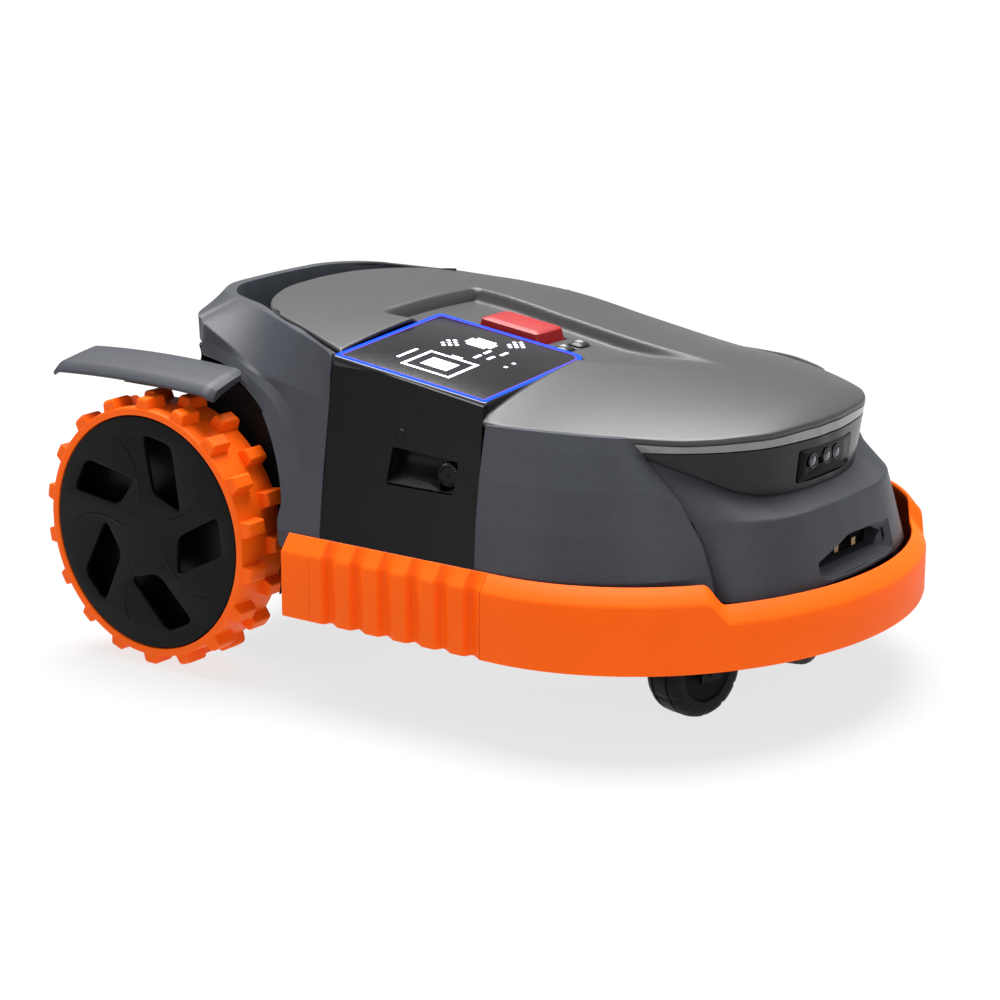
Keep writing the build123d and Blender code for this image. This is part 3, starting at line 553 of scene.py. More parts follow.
def wheels():
    carcass, lugs = tyre()
    for hand in ("right", "left"):
        body = "drive_wheel_" + hand
        turn = (lambda part: part) if hand == "right" else flipped
        piece("tyre_" + hand, *turn(carcass), tyre_orange, body, ["drive_tyre_" + hand], angle=60)
        piece("tyre_lugs_" + hand, *turn(lugs), tyre_orange, body, bevel=0.9, segments=2)
        cap = piece("hubcap_disc_" + hand, *hubcap(hand), cap_black, body, ["hubcap_" + hand], angle=40)
        # raised creases that run between the windows
        creases = []
        for k in range(5):
            path = []
            for r, a in ((22.0, 50), (40.0, 47), (56.0, 52), (66.0, 58.5)):
                t = math.radians(a + 72 * k - 20)
                path.append((WHEEL[0] + r * math.cos(t), WHEEL[1] + r * math.sin(t)))
            path = spline(path, 12)
            rows = []
            for i, (x, z) in enumerate(path):
                width = 1.6 * (1 - 0.6 * i / 11)
                before, after = path[max(i - 1, 0)], path[min(i + 1, 11)]
                way = Vector((after[0] - before[0], after[1] - before[1])).normalized()
                rows.append([(x - way.y * width, -HALF_TRACK + 1.1, z + way.x * width),
                             (x, -HALF_TRACK + 0.45, z),
                             (x + way.y * width, -HALF_TRACK + 1.1, z - way.x * width)])
            creases.append(grid(rows, closed=True, cap=True))
        piece("hub_creases_" + hand, *turn(joined(*creases)), cap_black, body, angle=20)


# ----------------------------------------------------------------------- casters

def casters():
    turn = math.radians(-102)
    for side, hand in ((1, "right"), (-1, "left")):
        centre = Vector((171.795, -65.462, 32.0))
        axle = Vector((math.sin(-turn), math.cos(turn), 0)).normalized()
        ahead = Vector((axle.y, -axle.x, 0))
        profile = [(19.9, -11.9), (21.0, -13.1), (26.5, -13.5), (29.6, -12.4), (31.3, -9.8), (31.9, -7.4),
                   (30.9, -6.9),
                   (30.9, -5.7), (32.0, -5.2), (32.0, 5.2), (30.9, 5.7), (30.9, 6.9), (31.9, 7.4),
                   (31.3, 9.8),
                   (29.6, 12.4), (26.5, 13.5), (21.0, 13.1), (19.9, 11.9)]
        rows = []
        for i in range(97):
            a = 2 * math.pi * i / 96
            groove = 0.9 if i % 8 == 0 else 0.0
            row = []
            for r, y in profile:
                deep = r - (groove if 25 < r else 0.0)
                p = centre + (ahead * math.sin(a) + Vector((0, 0, math.cos(a)))) * deep + axle * y
                row.append((p.x, side * p.y, p.z))
            rows.append(row)
        verts, faces = grid(rows, closed=True)
        piece("caster_rubber_" + hand, verts, faces, tyre_black, "caster_wheel_" + hand,
              ["caster_tyre_" + hand],
              angle=40)
        frame["nodes"]["caster_hub_" + hand].data.materials[0] = rim_black


# --------------------------------------------------------------------- lid surface

LID_LINE = [(-240, 236.5, 8), (-187, 236.5, 8), (-148, 236, 10), (-62, 231.5, 14), (0, 224, 19),
            (69, 215.5, 22), (119, 211, 22), (160, 206.8, 25), (190, 203, 29), (212, 199, 31),
            (226, 193.6, 31),
            (240, 185, 31)]
LID_EDGE = [(-187, 0), (-186.5, -12), (-184, -38), (-174, -65), (-162, -84), (-146, -98), (-111, -112.5),
            (-66, -130), (-20, -142), (30, -148.5), (69, -149), (93, -146), (118, -141), (140, -131),
            (160, -120),
            (176, -111), (190, -101), (207, -84), (222, -58), (229, -20), (229.8, 0)]
RIDGE = [(-90, 55), (-85, 54), (46, 36), (148, 26)]
TROUGH_FLOOR = 9.0


def lid_line(x):
    """Height along the middle and the drop at the sides, smoothly through the table."""
    xs = [row[0] for row in LID_LINE]
    i = max(k for k in range(len(xs)) if xs[k] <= x) if x > xs[0] else 0
    i = min(i, len(xs) - 2)
    rows = [LID_LINE[max(i - 1, 0)], LID_LINE[i], LID_LINE[i + 1], LID_LINE[min(i + 2, len(xs) - 1)]]
    t = (x - xs[i]) / (xs[i + 1] - xs[i])
    out = []
    for k in (1, 2):
        before = (rows[2][k] - rows[0][k]) / max(rows[2][0] - rows[0][0], 1) * (xs[i + 1] - xs[i])
        after = (rows[3][k] - rows[1][k]) / max(rows[3][0] - rows[1][0], 1) * (xs[i + 1] - xs[i])
        h = 2 * t ** 3 - 3 * t ** 2 + 1, t ** 3 - 2 * t ** 2 + t, 3 * t ** 2 - 2 * t ** 3, t ** 3 - t ** 2
        out.append(h[0] * rows[1][k] + h[1] * before + h[2] * rows[2][k] + h[3] * after)
    return out


def lid_z(x, y):
    z, fall = lid_line(x)
    return z - fall * (y / 150.0) ** 2


def trough(x, y):
    """Depth of the control trough, which is steep at its far and rear walls and fades towards the nose."""
    far = smooth((linear(RIDGE, x) - y) / 8.0)
    near = smooth((y - linear([(-90, -58), (62, -42), (150, 6)], x)) / 16.0)
    return TROUGH_FLOOR * far * near * smooth((x + 88.0) / 4.0) * smooth((150.0 - x) / 105.0)


def lid():
    edge = spline(LID_EDGE, 210)
    loop = edge + [(x, -y) for x, y in reversed(edge[1:-1])]
    rings = [1.0, 1.0, 0.996, 0.988, 0.975] + [0.96 - 0.96 * i / 100 for i in range(101)]
    lower = [-3.2, -1.2, -0.3, -0.05, 0.0] + [0.0] * 101
    rows = []
    for r, down in zip(rings, lower):
        row = []
        for x, y in loop:
            spine = min(max(x, -105.0), 140.0)
            px, py = spine + (x - spine) * r, y * r
            row.append((px, py, lid_z(px, py) + down - trough(px, py)))
        rows.append(row)
    holes = [(x - l / 2 - 0.5, x + l / 2 + 0.5, y - w / 2 - 0.5, y + w / 2 + 0.5)
             for x, y, l, w in BUTTONS.values()]
    holes.append((SLAB_X[0] - 0.6, SLAB_X[1] + 0.6, -175.0, SLAB_Y[1] + 0.6))
    verts, faces = clip(grid(rows, closed=True), holes)
    top = piece("lid_cover", verts, faces, lid_grey, "chassis", ["top_lid", "control_tray"], thick=2.6,
                angle=50)


# --------------------------------------------------------------------- buttons

BUTTONS = {"stop_button": (-12.0, 2.0, 54.0, 36.0), "start_button": (29.0, -6.0, 11.0, 14.0),
           "home_button": (29.0, 12.0, 11.0, 14.0)}


def buttons():
    for name, (x, y, length, width) in BUTTONS.items():
        floor = lid_z(x, 0) - TROUGH_FLOOR
        rise = 8.3 if name == "stop_button" else 2.4
        slope = (lid_z(x + 5, 0) - lid_z(x - 5, 0)) / 10
        rows = []
        for grow, z in ((0.0, -6.5), (0.0, rise - 1.6), (-0.8, rise - 0.9), (-3.2, rise - 0.1), (-3.8, rise)):
            half_x, half_y = length / 2 - 0.3 + grow, width / 2 - 0.3 + grow
            if name == "stop_button" and z > 0:
                half_x, half_y = half_x - z * 0.45, half_y - z * 0.3
            outline = rounded([(-half_x, -half_y), (half_x, -half_y), (half_x, half_y), (-half_x, half_y)],
                              4.0)
            rows.append([(x + a, y + b, floor + z + slope * a) for a, b in outline])
        mat = stop_red if name == "stop_button" else key_black
        verts, faces = grid(rows, closed=True, cap=True)
        piece(name + "_cap", verts, faces, mat, name, [name], angle=30)
        if name != "stop_button":
            mark = rounded([(-2.4, -3.0), (2.6, 0.0), (-2.4, 3.0)],
                           0.6) if name == "start_button" else rounded(
                [(-2.4, -2.6), (0.4, -2.6), (3.0, 0.0), (0.4, 2.6), (-2.4, 2.6)], 0.6)
            verts, faces = grid([[(x + a, y + b, floor + rise - 0.05 + slope * a) for a, b in mark],
                                 [(x + a, y + b, floor + rise + 0.12 + slope * a) for a, b in mark]],
                                closed=True, cap=True)
            piece(name + "_mark", verts, faces, key_mark, name)


# ---------------------------------------------------------------------- display

def slab_z(x, y):
    return 219.6 - 0.127 * (x - SLAB_X[0]) + 0.080 * (y - SLAB_Y[0])


def slab_ring(points, low, high):
    return grid([[(x, y, slab_z(x, y) + low) for x, y in points],
                 [(x, y, slab_z(x, y) + high) for x, y in points]],
                closed=True, cap=True)


def display():
    x0, x1, y0, y1 = SLAB_X[0], SLAB_X[1], SLAB_Y[0], SLAB_Y[1]
    def inside(by):
        """The display's outline moved inwards: tight near corners, and a wide one at the far front."""
        corners = [(x0 + by, y0 + by), (x1 - by, y0 + by), (x1 - by, y1 - by), (x0 + by, y1 - by)]
        out = []
        for k, radius in enumerate((2.5, 2.5, 12.0, 6.0)):
            out += rounded(corners, max(radius - by * 0.6, 1.0), 8)[9 * k:9 * k + 9]
        return out

    edge = inside(0.0)

    plate = [[(x, y, slab_z(x, y) + z) for x, y in ring] for ring, z in
             ((edge, -6.0), (edge, -1.2), (inside(0.5), -0.35), (inside(1.2), -0.05))]
    verts, faces = grid(plate, closed=True, cap=True)
    piece("display_slab", verts, faces, glass_black, "chassis", ["display_glass"], angle=30)

    def band(outer, inner, lift):
        rows = [[(x, y, slab_z(x, y) + z) for x, y in ring] for ring, z in
                ((outer, lift - 0.3), (outer, lift), (inner, lift), (inner, lift - 0.3))]
        return grid(rows + rows[:1], closed=True)

    base = [(x0 + 0.5, y0 + 2.6), (x1 - 0.5, y0 + 2.6), (x1 - 0.5, y1 - 0.5), (x0 + 0.5, y1 - 0.5)]
    walls = rounded(base, 7.0)
    rows = [[(x, y, 196.0) for x, y in walls], [(x, y, slab_z(x, y) - 2.0) for x, y in walls]]
    piece("display_base", *grid(rows, closed=True, cap=True), panel_black, "chassis", ["display_housing"])
    piece("display_blue_line", *band(inside(1.2), inside(4.0), 0.12), blue_light, "chassis",
          ["display_light_frame"])
    piece("display_violet_line", *band(inside(4.05), inside(4.9), 0.08), violet_light, "chassis")
    icons()


def icons():
    """Generic dot-matrix marks: a framed battery level, a tree-like mark over a mowing path, and two dots."""
    dots = []

    def dot(x, y, size=1.15):
        ring = [(x - size, y - size), (x + size, y - size), (x + size, y + size), (x - size, y + size)]
        dots.append(slab_ring(ring, 0.02, 0.16))

    def block(x, y, marks, step=3.1):
        """Dots centred on (x, y), with each mark's row counted along x and column along y."""
        for i, j in marks:
            dot(x + i * step, y + j * step)

    frame = [(i, j) for i in range(-6, 7) for j in range(-5, 6) if abs(i) == 6 or abs(j) == 5]
    block(-1, -105, frame)                                                   # battery outline
    block(-1, -105, [(i, j) for i in range(-3, 4) for j in range(-2, 3)])    # its level
    block(-1, -86.4, [(i, 0) for i in (-1, 0, 1)])                           # its terminal
    block(-29, -103, [(0, j) for j in range(-3, 4)])
    crown = [(i, j) for i in range(-3, 4) for j in range(-2, 3) if abs(i) + abs(j) < 5]
    block(-5, -54, crown)                                                    # plain leafy plant
    wing = [(0, 0), (1, 1), (-1, -1), (1, -1), (-1, 1), (0, 2), (0, -2), (2, 0)]
    block(-21, -68, wing)
    block(13, -40, wing)
    for x, y in ((8, -76), (16, -72), (8, -65), (18, -60)):
        block(x, y, [(0, j) for j in (-1, 0, 1)], 2.6)
    dot(33, -79)
    dot(33, -70)
    piece("display_icons", *joined(*dots), icon_white, "chassis", flat=True)


# --------------------------------------------------------------------- side panel

def side_y(z, deep=0.0):
    return -186.0 + SIDE_LEAN * (z - SIDE_TURN) + deep


def side_panel():
    """Gloss panel leaning with the body, with a rounded top edge below the display and a recess for the knob."""
    def rear(z):
        return -37.5 - 0.23 * (z - SIDE_TURN)

    def front(z):
        return 86.5 - 0.25 * (z - SIDE_TURN)

    top_low, top_high = 203.0, 218.6
    rows = []
    steps = 26
    for i in range(steps + 1):
        t = i / steps
        row = []
        for k in range(41):
            u = k / 40
            ceiling = top_high + (top_low - top_high) * u - 0.6
            z = SIDE_TURN + (ceiling - SIDE_TURN) * t
            row.append((rear(z) + (front(z) - rear(z)) * u, side_y(z), z))
        rows.append(row)
    for lift, inward in ((0.35, 0.6), (0.6, 2.0), (0.6, 5.0)):
        rows.append([(x, y + inward, z + lift) for x, y, z in rows[steps]])
    verts, faces = grid(rows)
    skin = piece("side_panel_skin", verts, faces, panel_black, "chassis", ["side_panel"], thick=3.6, angle=40)
    hole = [(2.0, 171.0), (55.0, 168.5), (57.0, 149.0), (4.0, 148.5)]
    cut = rounded(hole, 2.5)
    carve(skin, grid([[(x, -205, z) for x, z in cut], [(x, -130, z) for x, z in cut]], closed=True, cap=True))
    # the scoop inside the recess: a slanted floor that runs in to the cup's back
    rows = []
    for z, y in ((149.2, side_y(149.2) + 1.0), (152.0, -160.0), (158.0, -153.0), (165.0, -149.5),
                 (170.5, -149.0)):
        rows.append([(x, y, z) for x in (3.0, 15.0, 30.0, 45.0, 56.4)])
    scoop = piece("recess_scoop", *grid(rows), panel_black, "chassis", thick=-0.8)
    carve(scoop, grid([[(47.5 + 9.2 * math.cos(a), y, 159 + 9.2 * math.sin(a)) for a in
                        (2 * math.pi * i / 32 for i in range(32))] for y in (-200, -140)], closed=True,
                        cap=True))
    rows = []
    for r, y in ((5.0, -155.5), (8.3, -155.5), (8.3, -160.6), (7.5, -161.6), (6.4, -161.6), (5.8, -160.9),
                 (0.01, -160.9)):
        ring = []
        for i in range(144):
            a = 2 * math.pi * i / 144
            notch = 0.35 * math.cos(24 * a) if r > 7 else 0.0
            ring.append((47.5 + (r - 0.35 + notch) * math.cos(a), y, 159 + (r - 0.35 + notch) * math.sin(a)))
        rows.append(ring)
    piece("knob_wheel", *grid(rows, closed=True), panel_black, "height_knob", ["height_knob"], angle=40)
    # a small screw cover above the recess
    centre = (5.0, 178.5)
    discs = []
    for r, out in ((3.6, 0.0), (3.4, 0.4), (0.01, 0.5)):
        discs.append([(centre[0] + r * math.cos(2 * math.pi * i / 32), side_y(centre[1] + r * math.sin(
            2 * math.pi * i / 32)) - out, centre[1] + r * math.sin(2 * math.pi * i / 32)) for i in range(32)])
    piece("panel_dimple", *grid(discs, closed=True), panel_black, "chassis")


# -------------------------------------------------------------------------- shell

# Rows of each column, from the lid down: inner rim, crest, crease, band foot, undercut, side foot, lowest edge
REAR = [
    [(-222, 0, 235.4), (-229, 0, 235.6), (-232, 0, 224), (-231, 0, 208), (-217, 0, 196), (-213, 0, 150),
     (-211, 0, 99.5)],
    [(-221, -24, 235.4), (-228.5, -25, 235.5), (-231.5, -26, 224), (-230.5, -26, 208), (-217, -26, 196),
     (-213, -32, 150), (-211, -34, 99.5)],
    [(-218.5, -48, 235.3), (-226, -50, 235.3), (-230, -54, 224), (-229, -54, 208), (-215, -52, 196),
     (-212, -64, 150), (-210, -68, 99.5)],
    [(-208, -66, 235.2), (-214, -72, 234.8), (-221, -84, 224.5), (-219, -84, 209), (-206, -80, 197),
     (-209, -98, 150), (-207, -100, 99.5)],
    [(-197, -77, 235.0), (-197, -82, 234.5), (-205, -110, 225.4), (-202, -112, 209), (-194, -108, 198),
     (-203, -124, 150), (-200, -130, 99.5)],
]
OVER_WHEEL = [
    [(-180, -84, 234.0), (-177, -89, 233.4), (-188, -122, 221.0), (-188, -124, 211), (-187, -125.5, 207),
     (-186, -127.5, 203.0)],
    [(-165, -89, 233.0), (-159, -97, 232), (-165, -128, 213), (-165, -130, 208), (-164.5, -132, 205),
     (-163.5, -134.5, 201.3)],
    [(-148, -98, 231.5), (-144, -104, 230.6), (-145, -133, 205.8), (-145, -136, 203), (-144.5, -138.5, 200),
     (-143.5, -142, 196.2)],
    [(-130, -107, 229.0), (-130, -110, 229), (-128, -138, 199.6), (-128, -140, 198), (-127.3, -143.5, 194),
     (-125, -148, 187.2)],
    [(-111, -114, 227.0), (-114, -117, 227), (-111, -142, 197.2), (-110, -144, 193), (-108, -150, 186),
     (-104, -159, 171.8)],
    [(-97, -119, 224.0), (-99, -124, 225), (-95, -145, 195.2), (-93, -150, 185), (-90, -158, 172),
     (-87, -169, 150.3)],
    [(-82, -125, 221.0), (-84, -129.5, 222.4), (-76, -148.2, 193), (-73, -156, 176), (-71, -166, 152),
     (-76, -178, 128.6)],
    [(-66, -131, 219.0), (-67, -136, 219.3), (-58.5, -151, 190.6), (-54, -160, 169.4), (-48, -170.5, 145),
     (-71.5, -186, 110)],
]


def shell_columns():
    """Columns of the body's right side from the rear middle to the seam beside the nose."""
    cols = [list(c) for c in REAR]
    cols.append([(-190, -80.5, 234.6), (-188.5, -85, 234), (-197, -116, 223.6), (-195.5, -118, 210),
                 (-193.5, -119, 206), (-193, -120.5, 202), (-193, -120, 200.5)])
    for c in OVER_WHEEL:
        cols.append(c + [(c[-1][0], c[-1][1] + 1.0, c[-1][2] - 1.5)])
    cols[-1] = [(-74, -128, 219.8), (-75, -133, 220.7), (-66.5, -149.7, 191.8), (-63, -157.5, 174),
                (-60.5, -167.5, 151), (-71.5, -186, 110), (-71.5, -186, 99.5)]
    cols.append([(-65, -132, 218.4), (-66, -138, 219.2), (-57, -150.8, 190.8), (-53, -159, 171.5),
                 (-47.5, -169.8, 147), (-38, -186, 110), (-38, -186, 99.5)])
    tops = [(-20, -143, 205), (30, -149, 197), (69, -150.5, 192.6), (93, -148, 192.8),
            (119, -142.5, 192.8), (142, -132.5, 191.8), (154, -124.5, 191.2)]
    feet = [(-5, -186), (45, -186), (86, -186), (104, -186), (138, -180.5), (172, -163), (198, -138)]
    for (tx, ty, tz), (fx, fy) in zip(tops, feet):
        col = [(tx - 1.0, ty + 3.0, tz + 0.3), (tx, ty, tz)]
        for t in (0.12, 0.38, 0.68):
            bulge = 3.0 * math.sin(math.pi * t)
            way = Vector((fx * 0.35 - 20, fy)).normalized() if fx > 100 else Vector((0, -1))
            col.append((tx + (fx - tx) * t + way.x * bulge, ty + (fy - ty) * t + way.y * bulge,
                        tz + (SIDE_TURN - tz) * t))
        col += [(fx, fy, SIDE_TURN), (fx, fy, 99.5)]
        cols.append(col)
    cols.append([(158.5, -114, 190.8), (160, -117, 190.6), (165, -114.5, 178), (190, -113, 153),
                 (206.5, -112.5, 128), (213, -112.5, 110), (215.6, -112.5, 99.5)])
    return cols


def stretch(cols, first_row=0):
    """A dense patch through columns. Rows close to each corner keep the creases crisp."""
    rows = [through([c[r] for c in cols], 14) for r in range(first_row, 7)]
    dense = []
    for column in zip(*rows):
        fine = [column[0]]
        for a, b in zip(column, column[1:]):
            fine += [tuple(p + (q - p) * k for p, q in zip(a, b)) for k in (0.04, 0.35, 0.65, 0.96, 1.0)]
        dense.append(fine)
    return grid(dense)


def shell():
    cols = shell_columns()
    rear = len(REAR) + 1 + len(OVER_WHEEL)
    before, panel, ahead = cols[:rear + 1], cols[rear:rear + 4], cols[rear + 3:]
    right = joined(stretch(before), stretch(panel, 5), stretch(ahead))
    left = flipped(joined(stretch(before), stretch(panel), stretch(ahead)))
    piece("body_shell_right", *right, body_grey, "chassis", ["main_shell"], thick=2.4, angle=60)
    piece("body_shell_left", *left, body_grey, "chassis", thick=2.4, angle=60)
    # lined mouth of the wheel arch and the black wall behind the wheel
    for side, hand in ((1, "right"), (-1, "left")):
        rows = []
        for i in range(61):
            a = math.radians(-14 + 96 * i / 60)
            z = WHEEL[1] + ARCH_R * math.sin(a)
            edge = min(side_y(max(z, 110.0)) + 1.0, -142.0)
            rows.append([(WHEEL[0] + (ARCH_R - d) * math.cos(a), side * y,
                          WHEEL[1] + (ARCH_R - d) * math.sin(a))
                         for y, d in ((edge, 0.2), (edge + 3, 1.2), (-148.0, 2.0), (-146.8, 2.0),
                                      (-146.8, 30.0),
                                      (-146.8, 88.0))])
        lining = piece("arch_lining_" + hand, *grid(rows), chassis_black, "chassis", thick=1.0, angle=50)
        if side > 0:
            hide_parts("wheel_arch_liners")
    # carrying trough behind the lid
    rim = spline([(-221.8, 0), (-221, -24), (-218.3, -48), (-208, -66), (-197, -77), (-180, -84),
                  (-165, -89)], 40)
    back = spline([(-186, 0), (-185.6, -18), (-183, -40), (-173.5, -66), (-163, -84), (-150, -94),
                   (-140, -100)], 40)
    rows = []
    for t, deep in ((0.0, 1.0), (0.03, 6.0), (0.08, 24.0), (0.16, 36.0), (0.3, 41.0), (0.6, 41.0),
                    (0.88, 38.0),
                    (0.97, 28.0), (1.0, 4.0)):
        rows.append([(a + (c - a) * t, b + (d - b) * t, lid_z(a,
                                                              b) - deep * (1 - 0.88 * smooth((i - 24) / 15)))
                     for i, ((a, b), (c, d)) in enumerate(zip(rim, back))])
    half = grid(rows)
    well = piece("handle_trough", *joined(half, flipped(half)), slate, "chassis", ["handle_well"], angle=40)


# --------------------------------------------------------------------------- nose

def nose():
    foot = spline([(215.4, -111.2), (225, -107), (239.6, -86.8), (250.3, -54.2), (254.4, -18), (254.8, 0)],
                  60)
    brow = spline([(198, -110.6), (209, -104), (225, -87.5), (238.5, -57), (242.6, -18), (243, 0)], 60)
    levels = []
    for t, z in ((0.0, 94.0), (0.02, 95.2), (0.25, 106), (0.5, 118), (0.75, 129), (0.93, 137.2),
                 (0.985, 139.4)):
        levels.append([(a + (c - a) * t, b + (d - b) * t, z) for (a, b), (c, d) in zip(foot, brow)])
    shelf = fascia_foot(60)
    for t in (0.02, 0.08, 0.5, 1.0):
        levels.append([(a + (c - 2.0 - a) * t, b + (d * 0.985 - b) * t, 140.2 + (z - 140.2) * t)
                       for (a, b), (c, d, z) in zip(brow, shelf)])
    half = grid(levels)
    cover = piece("nose_cover_skin", *joined(half, flipped(half)), body_grey, "chassis", ["nose_cover"],
                  thick=2.4,
                  angle=30)
    mouth = rounded([(-44, 98.5), (-34, 95.5), (44, 95.5), (52, 97.5), (52, 116.5), (14, 118.6), (-6, 119.0),
                     (-30, 112.0), (-44, 108.5)], 2.5)
    carve(cover, grid([[(x, y, z) for y, z in mouth] for x in (200, 300)], closed=True, cap=True))
    # funnel that leads in to the dark slot of the charging recess
    slot = rounded([(-38, 104.0), (-30, 101.5), (0, 101.5), (40, 101.5), (42, 104.0), (42, 113.5),
                    (14, 115.0),
                    (-6, 115.0), (-30, 110.0), (-38, 108.5)], 1.5)
    rows = []
    for t in (0.0, 0.3, 0.65, 1.0):
        rows.append([(251.5 - 9.0 * t - (z0 - 95) * 0.27 * (1 - t), y0 + (y1 - y0) * t, z0 + (z1 - z0) * t)
                     for (y0, z0), (y1, z1) in zip(mouth, slot)])
    rows.append([(234.0, y, z) for y, z in slot])
    piece("recess_funnel", *grid(rows, closed=True), body_grey, "chassis", angle=30)
    # slim black gap under the nose
    gap = [[(x - 2.5, y * 0.985, 94.6) for x, y in foot], [(x - 3.0, y * 0.982, 90.0) for x, y in foot]]
    half = grid(gap)
    piece("nose_gap", *joined(half, flipped(half)), chassis_black, "chassis", thick=1.0)
    fascia()


FASCIA_LOW = [(163, -110), (176, -99), (191, -89.5), (206, -76), (219, -52), (226.5, -20), (227.3, 0)]
FASCIA_HIGH = [(160, -118), (176, -109.5), (190.5, -99), (207.5, -81.5), (221.5, -57), (229.5, -20),
               (230.2, 0)]
FASCIA_SILL = [(0.0, 180.0), (0.05, 177.5), (0.26, 165.0), (0.40, 156.0), (0.53, 150.8), (0.64, 149.5),
               (1.0, 149.5)]


def fascia_at(a, b, z):
    """Point on the fascia's sloping face, between its low and high outline."""
    s = (z - 150.0) / 31.0
    return a[0] + (b[0] - a[0]) * s, a[1] + (b[1] - a[1]) * s, z


def fascia_foot(count):
    low, high = spline(FASCIA_LOW, count), spline(FASCIA_HIGH, count)
    return [fascia_at(a, b, linear(FASCIA_SILL, i / (count - 1))) for i, (a, b) in enumerate(zip(low, high))]


def fascia():
    low, high = spline(FASCIA_LOW, 70), spline(FASCIA_HIGH, 70)
    foot = fascia_foot(70)
    rows = [[(x - 3.0, y * 0.98, z - 0.5) for x, y, z in foot]]
    for t in (0.0, 0.03, 0.3, 0.6, 1.0):
        rows.append([fascia_at(a, b, f[2] + (181.0 - f[2]) * t) for a, b, f in zip(low, high, foot)])
    half = grid(rows)
    skin = piece("fascia_skin", *joined(half, flipped(half)), fascia_black, "chassis", ["front_fascia"],
                 thick=2.0,
                 angle=40)
    frame_hole = rounded([(-33, 153.5), (33, 153.5), (33, 175.5), (-33, 175.5)], 3.0)
    carve(skin, grid([[(x, y, z) for y, z in frame_hole] for x in (200, 260)], closed=True, cap=True))
    pane = rounded([(-32.7, 153.8), (32.7, 153.8), (32.7, 175.2), (-32.7, 175.2)], 2.8)

    def face(z, y):
        return 227.0 + (z - 150.0) / 31.0 * 2.9 - 0.006 * abs(y) ** 1.75 * 0.45

    rows = [[(face(z, y) - back, y * k, 164.5 + (z - 164.5) * k) for y, z in pane]
            for back, k in ((3.0, 1.0), (0.9, 1.0), (0.5, 0.985), (0.55, 0.6), (0.55, 0.01))]
    piece("camera_pane", *grid(rows, closed=True), window_glass, "chassis", ["camera_window"], angle=40)
    lenses, rings = [], []
    for y, r in ((-17.0, 4.0), (0.0, 4.0), (12.6, 4.0)):
        for store, profile in ((lenses, [(r, 0.1), (r * 0.8, 0.7), (r * 0.4, 1.0), (0.01, 1.1)]),
                               (rings, [(r, 0.0), (r + 0.2, 0.7), (r + 1.0, 0.7), (r + 1.2, 0.0)])):
            store.append(grid([[(face(166, y) - 0.6 + h, y + q * math.cos(2 * math.pi * i / 40),
                                 166 + q * math.sin(2 * math.pi * i / 40)) for i in range(40)]
                               for q, h in profile], closed=True))
    piece("camera_lens_domes", *joined(*lenses), lens_dark, "chassis", ["camera_lenses"])
    piece("camera_lens_rings", *joined(*rings), lens_ring, "chassis")
    # light band under the lid's lip
    upper = spline([(155, -122.5), (176, -111), (190, -101), (207, -84), (222, -58), (229, -20),
                    (229.9, 0)], 70)
    rows = []
    for t in (0.0, 0.1, 0.9, 1.0):
        inset = 1.2 if t in (0.0, 1.0) else 0.0
        rows.append([(a + (c - a) * t - inset, b + (d - b) * t, 181.3 + (lid_z(c, d) - 3.4 - 181.3) * t)
                     for (a, b), (c, d) in zip(high, upper)])
    half = grid(rows)
    piece("light_band_strip", *joined(half, flipped(half)), diffuser, "chassis", ["light_band"], thick=1.6)


# ------------------------------------------------------------------------ fenders

def fenders():
    """Arched mudguards with a bevelled edge all round and a slanted front end."""
    profile = [(-187.0, 189.6), (-188.0, 190.6), (-188.0, 191.4), (-187.4, 192.2), (-182.0, 196.4),
               (-180.6, 197.0),
               (-172, 198.5), (-160, 200.4), (-149, 201.8), (-147, 201.4), (-147, 198.0), (-160, 196.2),
               (-176, 192.8), (-184.5, 190.0)]
    count = 60
    for side, hand in ((1, "right"), (-1, "left")):
        loops = []
        for i in range(count + 1):
            t = i / count
            tip = min(t, 1 - t) * 143.0
            pinch = 4.0 * (1 - math.sqrt(max(1 - (1 - min(tip / 4.0, 1.0)) ** 2, 0.0)))
            arch = 2.6 * (1 - (2 * t - 1) ** 2) - 3.0 * max(1.0 - tip / 5.5, 0.0)
            loop = []
            for y, z in profile:
                s = (y + 188.0) / 41.0
                x = -271.0 + t * (144.0 - 5.0 * s)
                loop.append((x, side * (y + pinch * (1 - 2 * s) * 0.8), z + arch))
            loops.append(loop)
        verts, faces = grid(loops, closed=True, cap=True)
        guard = piece("mudguard_" + hand, verts, faces, body_grey, "chassis", angle=24, bevel=0.6)
        if side > 0:
            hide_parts("fenders")


# ---------------------------------------------------------------------- the stage

CAMERA_LENS, CAMERA_AZIMUTH, CAMERA_ELEVATION, CAMERA_DISTANCE = 102.34, 35.867, 14.942, 1.711
CAMERA_TARGET = (0.1195, -0.2050, 0.1640)
SKY_WAY = (0.20, -0.28, -1.0)        # the sky lamp shines forwards and to the mower's right
WORLD_LIGHT, SKY_LIGHT, SKY_ANGLE = 0.32, 7.2, 50
FLOOR_HALF, FLOOR_Z = 40, -0.0004


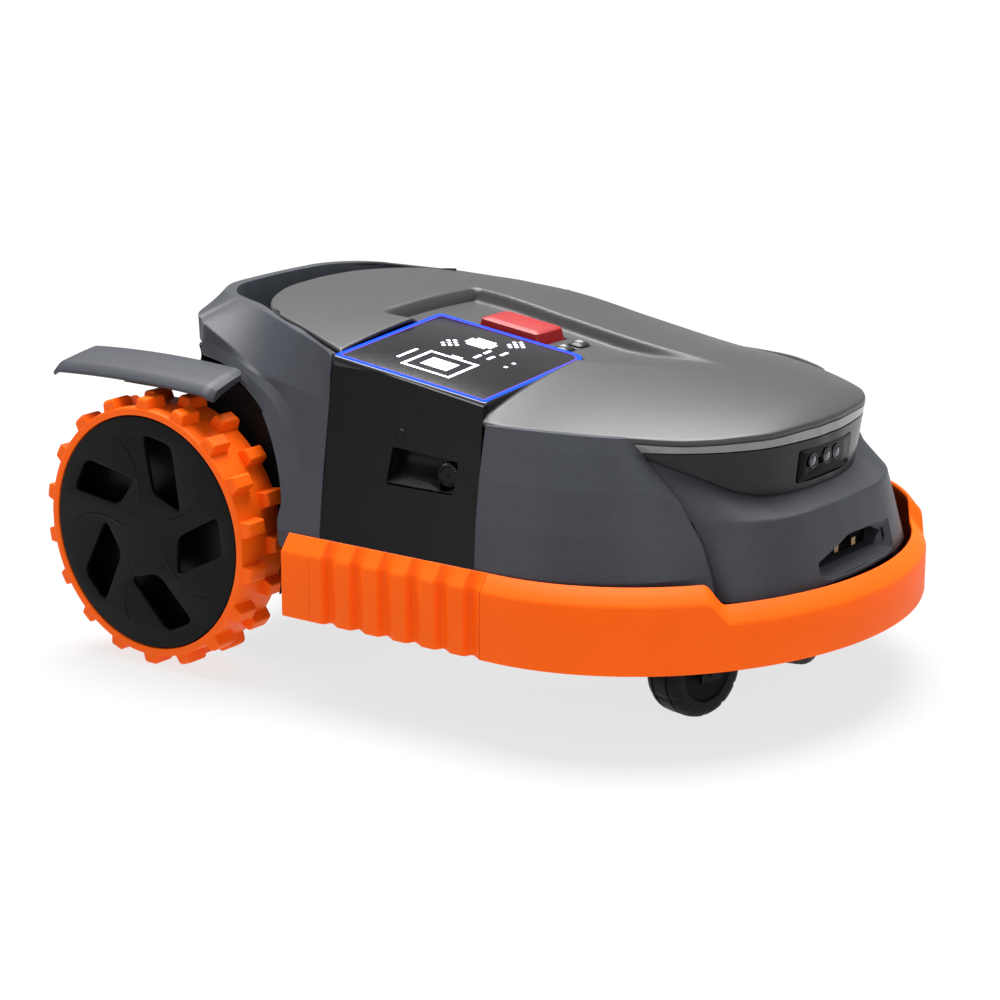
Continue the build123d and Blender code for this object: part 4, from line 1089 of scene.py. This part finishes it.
def stage_and_camera():
    floor = bpy.data.meshes.new("floor")
    floor.from_pydata([(x * FLOOR_HALF, y * FLOOR_HALF, FLOOR_Z) for x,
                       y in ((-1, -1), (1, -1), (1, 1), (-1, 1))],
                      [], [(0, 1, 2, 3)])
    ground = bpy.data.objects.new("floor", floor)
    bpy.context.scene.collection.objects.link(ground)
    ground.data.materials.append(material("floor_pale", (0.13, 0.13, 0.13), 0.9, vary=0.0, bump=0.0,
                                          emission=5.8, spec=0.0))
    world = bpy.data.worlds.new("studio")
    bpy.context.scene.world = world
    world.use_nodes = True
    world.node_tree.nodes["Background"].inputs["Color"].default_value = (1, 1, 1, 1)
    world.node_tree.nodes["Background"].inputs["Strength"].default_value = WORLD_LIGHT

    def lamp(name, place, target, size, power):
        light = bpy.data.lights.new(name, "AREA")
        light.shape, light.size, light.energy = "DISK", size, power
        obj = bpy.data.objects.new(name, light)
        obj.location = place
        obj.rotation_euler = (Vector(target) - Vector(place)).to_track_quat("-Z", "Y").to_euler()
        bpy.context.scene.collection.objects.link(obj)

    sky = bpy.data.lights.new("sky", "SUN")
    sky.energy, sky.angle = SKY_LIGHT, math.radians(SKY_ANGLE)
    obj = bpy.data.objects.new("sky", sky)
    obj.rotation_euler = Vector(SKY_WAY).to_track_quat("-Z", "Y").to_euler()
    bpy.context.scene.collection.objects.link(obj)
    lamp("side", (-0.9, -2.2, 1.2), (0, 0, 0.1), 1.4, 7)
    lamp("front", (2.2, -1.0, 0.9), (0.1, 0, 0.1), 1.2, 10)
    camera = bpy.data.cameras.new("camera")
    camera.lens, camera.sensor_width = CAMERA_LENS, 36.0
    obj = bpy.data.objects.new("camera", camera)
    bpy.context.scene.collection.objects.link(obj)
    azimuth, elevation = math.radians(CAMERA_AZIMUTH), math.radians(CAMERA_ELEVATION)
    away = Vector((math.sin(azimuth) * math.cos(elevation), -math.cos(azimuth) * math.cos(elevation),
                   math.sin(elevation)))
    obj.location = Vector(CAMERA_TARGET) + away * CAMERA_DISTANCE
    obj.rotation_euler = away.to_track_quat("Z", "Y").to_euler()
    bpy.context.scene.camera = obj
    bpy.context.scene.view_settings.view_transform = "Standard"


skirt()
wheels()
casters()
lid()
buttons()
display()
side_panel()
shell()
nose()
fenders()
stage_and_camera()
